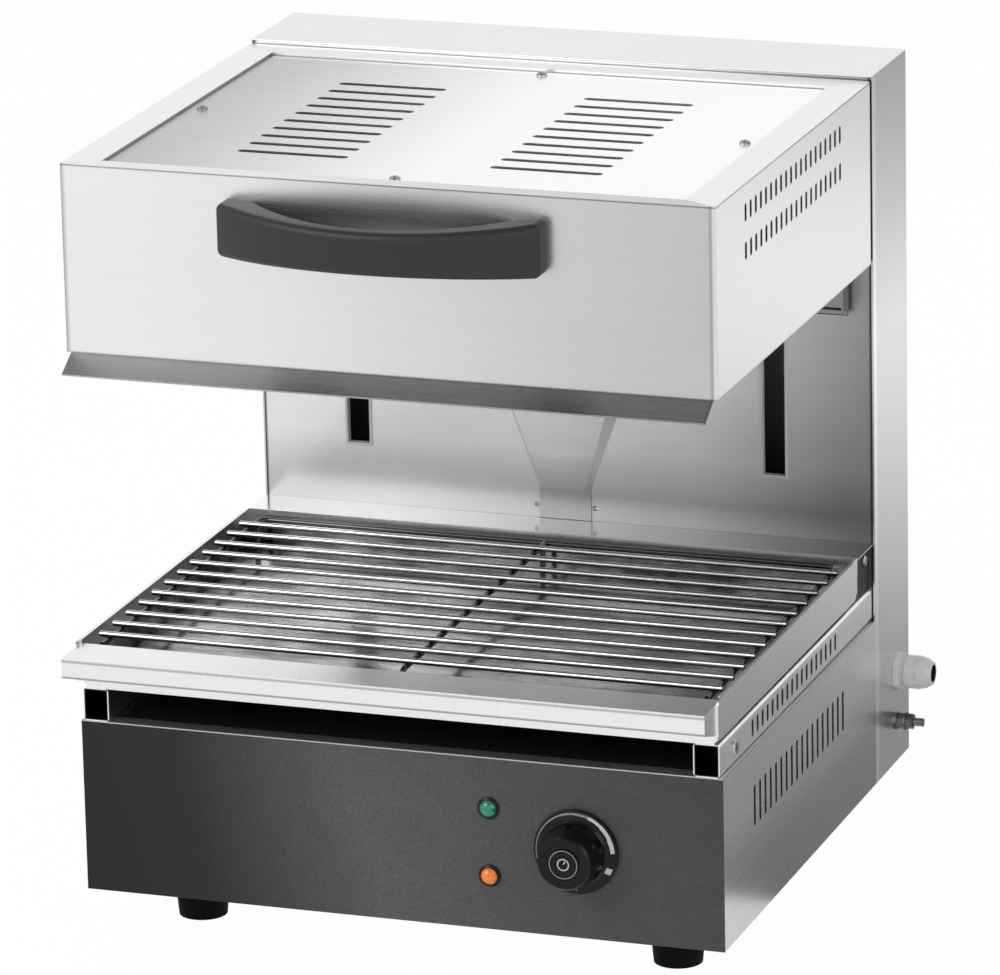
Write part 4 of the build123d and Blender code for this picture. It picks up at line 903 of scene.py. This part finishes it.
BEZEL_PLASTIC = Moulded(
    "plastic_bezel", (0.004, 0.004, 0.004), 0.3, 1500.0, 0.02 * MM, specular=0.2
)
GLAND_PLASTIC = GlandPlastic("plastic_gland", (0.60, 0.61, 0.62), 0.3, 900.0, 0.02 * MM)
LINER_PLASTIC = Moulded("plastic_liner", (0.62, 0.62, 0.61), 0.4, 900.0, 0.02 * MM)
TERMINAL_PLASTIC = Moulded("plastic_terminal", (0.74, 0.72, 0.66), 0.45)
RUBBER = Moulded("rubber_moulded", (0.006, 0.006, 0.006), 0.7, 700.0, 0.08 * MM, specular=0.05)
PRINT_PALE = Moulded("print_pale", (0.50, 0.50, 0.50), 0.5, 600.0, 0.01 * MM)
PRINT_GREY = Moulded("print_grey", (0.20, 0.20, 0.20), 0.5, 600.0, 0.01 * MM)
WOOL = MineralWool("wool_blanket")
HEATER = Oxidised("sheath_oxidised")
GREEN_JEWEL = Jewel("jewel_green", (0.0, 0.18, 0.11), 0.10)
ORANGE_JEWEL = Jewel("jewel_orange", (0.80, 0.19, 0.006), 0.12)


# ---- work on meshes ------------------------------------------------------------------------------
def dress(node: str, finish: Finish) -> None:
    """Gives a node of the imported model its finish.

    Args:
        node: The node's name.
        finish: What it is dressed in.
    """
    mesh = frame["nodes"][node].data
    mesh.materials.clear()
    mesh.materials.append(finish.material())


def deselect() -> None:
    """Leaves nothing selected."""
    if bpy.context.object and bpy.context.object.mode != "OBJECT":
        bpy.ops.object.mode_set(mode="OBJECT")
    bpy.ops.object.select_all(action="DESELECT")


def take_up(piece: bpy.types.Object) -> None:
    """Makes one piece the only selected and active one."""
    deselect()
    piece.select_set(True)
    bpy.context.view_layer.objects.active = piece


def ease(node: str, width: float, finish: Finish) -> None:
    """Puts a copy with eased folds and cut edges in a node's place.

    Args:
        node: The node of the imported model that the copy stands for.
        width: Width of the eased edge, in metres.
        finish: What it is dressed in.
    """
    source = frame["nodes"][node]
    piece = bpy.data.objects.new(node + "_eased", source.data.copy())
    bpy.context.scene.collection.objects.link(piece)
    take_up(piece)
    bpy.ops.object.mode_set(mode="EDIT")
    bpy.ops.mesh.select_all(action="SELECT")
    bpy.ops.mesh.customdata_custom_splitnormals_clear()
    bpy.ops.mesh.remove_doubles(threshold=SAME_POINT)
    bpy.ops.mesh.dissolve_limited(angle_limit=FLAT_ANGLE)
    bpy.ops.object.mode_set(mode="OBJECT")
    bpy.ops.object.shade_smooth_by_angle(angle=FOLD_ANGLE)
    bevel = piece.modifiers.new("ease", "BEVEL")
    bevel.width = width
    bevel.segments = EASE_SEGMENTS
    bevel.limit_method = "ANGLE"
    bevel.angle_limit = FOLD_ANGLE
    bevel.harden_normals = True
    bpy.ops.object.modifier_apply(modifier=bevel.name)
    piece.data.materials.clear()
    piece.data.materials.append(finish.material())
    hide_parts(node)
    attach(piece, source["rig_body"])


# ---- the grill -----------------------------------------------------------------------------------
@dataclass
class Assembly:
    """A sub-assembly: the finish of each of its nodes, and which nodes get eased edges."""

    finishes: dict[str, Finish] = field(default_factory=dict)
    eased: tuple[str, ...] = ()
    ease_width: float = 0.4 * MM

    def build(self) -> None:
        """Dresses the nodes, makes the eased copies and adds the assembly's own pieces."""
        for node, finish in self.finishes.items():
            if node in self.eased:
                ease(node, self.ease_width, finish)
            else:
                dress(node, finish)
        self.add_details()
        name = type(self).__name__
        log.info("%s: %d nodes, %d eased", name, len(self.finishes), len(self.eased))

    def add_details(self) -> None:
        """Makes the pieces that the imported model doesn't have."""


@dataclass
class Base(Assembly):
    """Base casing with its front panel, sides, floor, deck, rear shelf, tray rails and feet."""

    finishes: dict[str, Finish] = field(
        default_factory=lambda: {
            "base_front_panel": CHARCOAL,
            "base_side_left": BASE_SIDES,
            "base_side_right": BASE_SIDES,
            "base_floor": REAR,
            "base_deck": BLACK_COAT,
            "rear_shelf": SHELF,
            "rail_left": RAILS,
            "rail_right": RAILS,
            "foot_front_left": RUBBER,
            "foot_front_right": RUBBER,
            "foot_rear_left": RUBBER,
            "foot_rear_right": RUBBER,
            "foot_bolts": SCREWS,
            "casing_screws": SCREWS,
            "terminal_block": TERMINAL_PLASTIC,
        }
    )
    eased: tuple[str, ...] = (
        "base_side_left",
        "base_side_right",
        "rail_left",
        "rail_right",
        "rear_shelf",
    )


@dataclass
class Controls(Assembly):
    """Pilot lamps, thermostat, and the knob with the pale marks on its skirt and cap."""

    finishes: dict[str, Finish] = field(
        default_factory=lambda: {
            "lamp_lens_green": GREEN_JEWEL,
            "lamp_lens_orange": ORANGE_JEWEL,
            "lamp_bezels": BEZEL_PLASTIC,
            "control_knob": KNOB_PLASTIC,
            "knob_spindle": SHAFTS,
            "thermostat_nut": SHAFTS,
            "thermostat_body": TERMINAL_PLASTIC,
        }
    )
    axis: Triple = (0.1111, -0.19195, 0.0969)
    skirt: Pair = (29.0 * MM, 3.2 * MM)
    skirt_top: Pair = (23.0 * MM, 5.4 * MM)
    cap_top: float = 28.8 * MM
    lift: float = 0.08 * MM
    wedge_angles: Pair = (200.0, -18.0)
    wedge_steps: int = 10
    wedge_pale_after: int = 6
    wedge_outer: float = 0.26
    wedge_width: float = 0.10
    wedge_growth: float = 0.42
    step_degrees: float = 4.0
    same_point: float = 1e-7
    marks: tuple[tuple[str, Pair, Pair, Finish], ...] = (
        ("skirt_bar", (0.92, 0.25), (-30.0, -40.0), PRINT_PALE),
        ("skirt_dot", (0.62, 0.42), (-104.0, -108.0), PRINT_PALE),
        ("skirt_spot", (0.62, 0.48), (-90.0, -92.5), PRINT_GREY),
    )
    cap_ring: Pair = (9.2 * MM, 9.9 * MM)
    cap_eye: Pair = (3.4 * MM, 4.2 * MM)
    cap_bar: Pair = (0.1 * MM, 2.4 * MM)
    cap_bar_angles: Pair = (75.0, 105.0)
    full_turn: Pair = (0.0, 360.0)

    def on_skirt(self, share: float) -> Pair:
        """Radius and height, just clear of the skirt, at a share of the way in from its edge."""
        radius = self.skirt[0] + share * (self.skirt_top[0] - self.skirt[0])
        height = self.skirt[1] + share * (self.skirt_top[1] - self.skirt[1])
        return radius, height + self.lift

    def on_cap(self, radius: float) -> Pair:
        """A radius with the height just clear of the cap."""
        return radius, self.cap_top + self.lift

    def arc(self, name: str, ends: tuple[Pair, Pair], angles: Pair, finish: Finish) -> None:
        """Prints a band on the knob, between two radii and heights and two angles.

        Args:
            name: The piece's name.
            ends: Radius and height of the band's two rims.
            angles: Where it starts and stops, in degrees from three o'clock, anticlockwise.
            finish: What it is printed in.
        """
        deselect()
        (first, low), (second, high) = ends
        start, stop = angles
        bpy.ops.mesh.primitive_plane_add(size=1.0)
        band = bpy.context.object
        band.name = name
        bpy.ops.object.mode_set(mode="EDIT")
        bpy.ops.mesh.select_all(action="SELECT")
        bpy.ops.mesh.merge(type="CENTER")
        bpy.ops.transform.translate(value=(first, -low, 0.0))
        bpy.ops.mesh.extrude_vertices_move(
            TRANSFORM_OT_translate={"value": (second - first, low - high, 0.0)}
        )
        bpy.ops.mesh.select_all(action="SELECT")
        bpy.ops.transform.rotate(
            value=math.radians(start), orient_axis="Y", center_override=(0.0, 0.0, 0.0)
        )
        bpy.ops.mesh.spin(
            steps=max(2, int(abs(stop - start) / self.step_degrees)),
            angle=math.radians(start - stop),
            center=(0.0, 0.0, 0.0),
            axis=(0.0, 1.0, 0.0),
        )
        bpy.ops.mesh.select_all(action="SELECT")
        bpy.ops.mesh.remove_doubles(threshold=self.same_point)
        bpy.ops.mesh.normals_make_consistent(inside=False)
        bpy.ops.transform.translate(value=self.axis)
        bpy.ops.object.mode_set(mode="OBJECT")
        band.data.materials.append(finish.material())
        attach(band, "knob")

    def add_details(self) -> None:
        """The wedge that grows round the skirt, the pointer's marks, and the cap's marks."""
        first, last = self.wedge_angles
        swing = (last - first) / self.wedge_steps
        outer = self.on_skirt(self.wedge_outer)
        for step in range(self.wedge_steps):
            wide = self.wedge_width + self.wedge_growth * (step / self.wedge_steps) ** 2
            start = first + step * swing
            finish = PRINT_PALE if step > self.wedge_pale_after else PRINT_GREY
            ends = (self.on_skirt(self.wedge_outer + wide), outer)
            self.arc(f"skirt_wedge_{step}", ends, (start, start + swing), finish)
        for name, (inner, rim), angles, finish in self.marks:
            self.arc(name, (self.on_skirt(inner), self.on_skirt(rim)), angles, finish)
        for name, (inner, rim), angles, finish in (
            ("cap_ring", self.cap_ring, self.full_turn, PRINT_GREY),
            ("cap_eye", self.cap_eye, self.full_turn, PRINT_PALE),
            ("cap_bar", self.cap_bar, self.cap_bar_angles, PRINT_PALE),
        ):
            self.arc(name, (self.on_cap(inner), self.on_cap(rim)), angles, finish)


@dataclass
class Column(Assembly):
    """Rear column with its slots, guides, springs, gland and bonding bolt."""

    finishes: dict[str, Finish] = field(
        default_factory=lambda: {
            "column_front_panel": COLUMN_FRONT,
            "column_side_left": COLUMN_SIDES,
            "column_side_right": COLUMN_SIDES,
            "column_top_cap": CAP,
            "column_rear_cover": REAR,
            "duct_cover": DUCT,
            "slot_liners": LINER_PLASTIC,
            "guide_rod_left": SHAFTS,
            "guide_rod_right": SHAFTS,
            "guide_blocks": ALUMINIUM,
            "gas_spring_cylinders": CYLINDER_COAT,
            "gland_body": GLAND_PLASTIC,
            "gland_dome_nut": GLAND_PLASTIC,
            "gland_locknut": GLAND_PLASTIC,
            "gland_seal": RUBBER,
            "earth_stud": STUD_METAL,
            "earth_nuts": STUD_METAL,
            "earth_washers": STUD_METAL,
        }
    )
    eased: tuple[str, ...] = (
        "column_side_left",
        "column_side_right",
        "column_top_cap",
        "slot_liners",
        "gland_body",
        "gland_dome_nut",
    )


@dataclass
class Hood(Assembly):
    """Heated hood with its casing, handle, heaters and lift carriage."""

    finishes: dict[str, Finish] = field(
        default_factory=lambda: {
            "hood_front_panel": HOOD_FRONT,
            "hood_side_left": HOOD_SIDES,
            "hood_side_right": HOOD_SIDES,
            "hood_rear_panel": HOOD_REAR,
            "hood_top_cover": HOOD_TOP,
            "cover_screws": SCREWS,
            "handle": HANDLE_PLASTIC,
            "handle_screws": SCREWS,
            "reflector": REFLECTOR,
            "insulation_blanket": WOOL,
            "heating_element_front": HEATER,
            "heating_element_rear": HEATER,
            "element_hangers": GALVANISED,
            "lift_carriage": GALVANISED,
            "carriers": ALUMINIUM,
            "guide_bushes": BRONZE,
            "gas_spring_rods": SHAFTS,
        }
    )
    eased: tuple[str, ...] = ("hood_front_panel", "hood_side_left", "hood_side_right")


@dataclass
class Tray(Assembly):
    """Drip tray, and the wire grid standing in it."""

    finishes: dict[str, Finish] = field(
        default_factory=lambda: {
            "drip_tray": PAN,
            "grid_long_wires": WIRE,
            "grid_cross_wires": WIRE,
        }
    )
    eased: tuple[str, ...] = ("drip_tray",)


# ---- studio --------------------------------------------------------------------------------------
@dataclass(frozen=True)
class Card:
    """A glowing patch just above the floor, seen only in gloss, whose level changes across it."""

    name: str
    corner: Pair
    size: Pair
    axis: Axis
    stops: Stops
    height: float = 2.0 * MM

    def build(self) -> None:
        """Makes the patch."""
        deselect()
        bpy.ops.mesh.primitive_plane_add(size=1.0)
        card = bpy.context.object
        card.name = self.name
        bpy.ops.object.mode_set(mode="EDIT")
        bpy.ops.mesh.select_all(action="SELECT")
        bpy.ops.transform.resize(value=(*self.size, 1.0), center_override=(0.0, 0.0, 0.0))
        middle = tuple(low + width / 2 for low, width in zip(self.corner, self.size))
        bpy.ops.transform.translate(value=(*middle, self.height))
        bpy.ops.object.mode_set(mode="OBJECT")
        material = bpy.data.materials.new(self.name)
        shader = Shader(material)
        level = shader.ramp(shader.parts_of(shader.point())[self.axis.value], self.stops)
        shader.finish(shader.glow(shader.colour(level)))
        card.data.materials.append(material)
        card.visible_camera = False
        card.visible_diffuse = False
        card.visible_shadow = False
        card.visible_transmission = False


@dataclass(frozen=True)
class Lamp:
    """One soft lamp aimed at the middle of the object."""

    name: str
    place: Triple
    size: Pair
    power: float
    aim: Triple = (0.0, 0.0, 0.3)

    def build(self) -> None:
        """Hangs the lamp."""
        lamp = bpy.data.lights.new(self.name, "AREA")
        lamp.shape = "RECTANGLE"
        lamp.size, lamp.size_y = self.size
        lamp.energy = self.power
        holder = bpy.data.objects.new(self.name, lamp)
        holder.location = self.place
        turn = (Vector(self.aim) - Vector(self.place)).to_track_quat("-Z", "Y")
        holder.rotation_euler = turn.to_euler()
        bpy.context.scene.collection.objects.link(holder)


@dataclass
class Studio:
    """Pale floor, white surroundings, soft lamps, and grey cards for the sheet metal to mirror."""

    floor_half: float = 14.0
    floor_tone: float = 0.93
    floor_white: float = 0.97
    sky_low: float = 1.0
    sky_high: float = 0.34
    sky_turn: Pair = (0.45, 0.95)
    ambient: float = 0.62
    lamps: tuple[Lamp, ...] = (
        Lamp("lamp_key", (-2.0, -2.6, 2.6), (2.2, 2.2), 62.0),
        Lamp("lamp_fill", (2.6, -1.6, 1.5), (1.6, 1.6), 14.0),
        Lamp("lamp_back", (-0.9, 2.3, 1.35), (2.6, 1.2), 0.8),
    )
    cards: tuple[Card, ...] = (
        Card(
            "card_right", (0.22, 0.0), (2.6, 4.0), Axis.Y,
            (
                (0.0, 0.22), (0.45, 0.30), (0.9, 0.62), (1.3, 0.92), (1.75, 1.0), (2.3, 0.55),
                (4.0, 0.6),
            ),
        ),
        Card(
            "card_front", (-1.6, -2.8), (2.4, 1.5), Axis.X,
            ((-1.6, 1.0), (-0.75, 1.0), (-0.5, 0.94), (-0.28, 0.86), (0.8, 0.8)),
        ),
    )

    def build(self) -> None:
        """Makes the floor, the world, the lamps and the cards."""
        self._floor()
        self._world()
        for item in self.lamps + self.cards:
            item.build()

    def _floor(self) -> None:
        """A wide pale floor that looks white and keeps the shadow."""
        deselect()
        bpy.ops.mesh.primitive_plane_add(size=2 * self.floor_half)
        floor = bpy.context.object
        floor.name = "floor"
        material = bpy.data.materials.new("floor_pale")
        shader = Shader(material)
        tone = (self.floor_tone, self.floor_tone, self.floor_tone, 1.0)
        matt = shader.signal(shader.node("ShaderNodeBsdfDiffuse", None, {"Color": tone}))
        white = shader.glow((1.0, 1.0, 1.0))
        share = self._seen(shader) * self.floor_white
        mixed = shader.node("ShaderNodeMixShader", None, {0: share, 1: matt, 2: white})
        shader.finish(shader.signal(mixed))
        floor.data.materials.append(material)

    @staticmethod
    def _seen(shader: Shader) -> Signal:
        """1 for rays that the eye, gloss or glass sends, else 0."""
        path = shader.node("ShaderNodeLightPath")
        seen = shader.signal(path, "Is Camera Ray").larger(shader.signal(path, "Is Glossy Ray"))
        return seen.larger(shader.signal(path, "Is Transmission Ray"))

    def _world(self) -> None:
        """Even light all round, white to the eye and darker overhead in gloss."""
        world = bpy.data.worlds.new("surroundings")
        bpy.context.scene.world = world
        shader = Shader(world)
        path = shader.node("ShaderNodeLightPath")
        direction = shader.signal(shader.node("ShaderNodeTexCoord"), "Generated")
        _, _, up = shader.parts_of(direction)
        gloss = self.sky_low + up.between(*self.sky_turn) * (self.sky_high - self.sky_low)
        camera = shader.signal(path, "Is Camera Ray")
        glossy = shader.signal(path, "Is Glossy Ray")
        level = camera + (1 - camera) * (glossy * gloss + (1 - glossy) * self.ambient)
        inputs = {"Color": shader.colour(level), "Strength": 1.0}
        shader.finish(shader.signal(shader.node("ShaderNodeBackground", None, inputs)))


@dataclass
class Viewpoint:
    """The camera's place and aim, at the photograph's angle."""

    place: Triple = (1.5991, -4.5139, 1.7265)
    heading: float = math.radians(-19.5669)
    pitch: float = math.radians(-16.7933)
    roll: float = math.radians(-1.2477)
    focal_pixels: float = 7381.9
    frame_width: float = 1000.0
    sensor: float = 36.0
    clip: Pair = (0.1, 60.0)

    def build(self) -> None:
        """Makes the camera and hands it to the scene."""
        data = bpy.data.cameras.new("camera")
        data.sensor_width = self.sensor
        data.lens = self.focal_pixels * self.sensor / self.frame_width
        data.clip_start, data.clip_end = self.clip
        holder = bpy.data.objects.new("camera", data)
        forward = Vector(
            (
                math.sin(self.heading) * math.cos(self.pitch),
                math.cos(self.heading) * math.cos(self.pitch),
                math.sin(self.pitch),
            )
        )
        level_right = forward.cross(Vector((0.0, 0.0, 1.0))).normalized()
        level_up = level_right.cross(forward)
        right = level_right * math.cos(self.roll) + level_up * math.sin(self.roll)
        up = level_up * math.cos(self.roll) - level_right * math.sin(self.roll)
        turn = Matrix((right, up, -forward)).transposed()
        holder.matrix_world = Matrix.Translation(self.place) @ turn.to_4x4()
        bpy.context.scene.collection.objects.link(holder)
        bpy.context.scene.camera = holder


def main() -> None:
    """Builds the grill and its studio."""
    logging.basicConfig(level=logging.INFO, format="%(message)s")
    bpy.context.scene.view_settings.view_transform = "Standard"
    for part in (Base(), Controls(), Column(), Hood(), Tray(), Studio(), Viewpoint()):
        part.build()
        log.info("built %s", type(part).__name__)


if __name__ == "__main__":
    main()
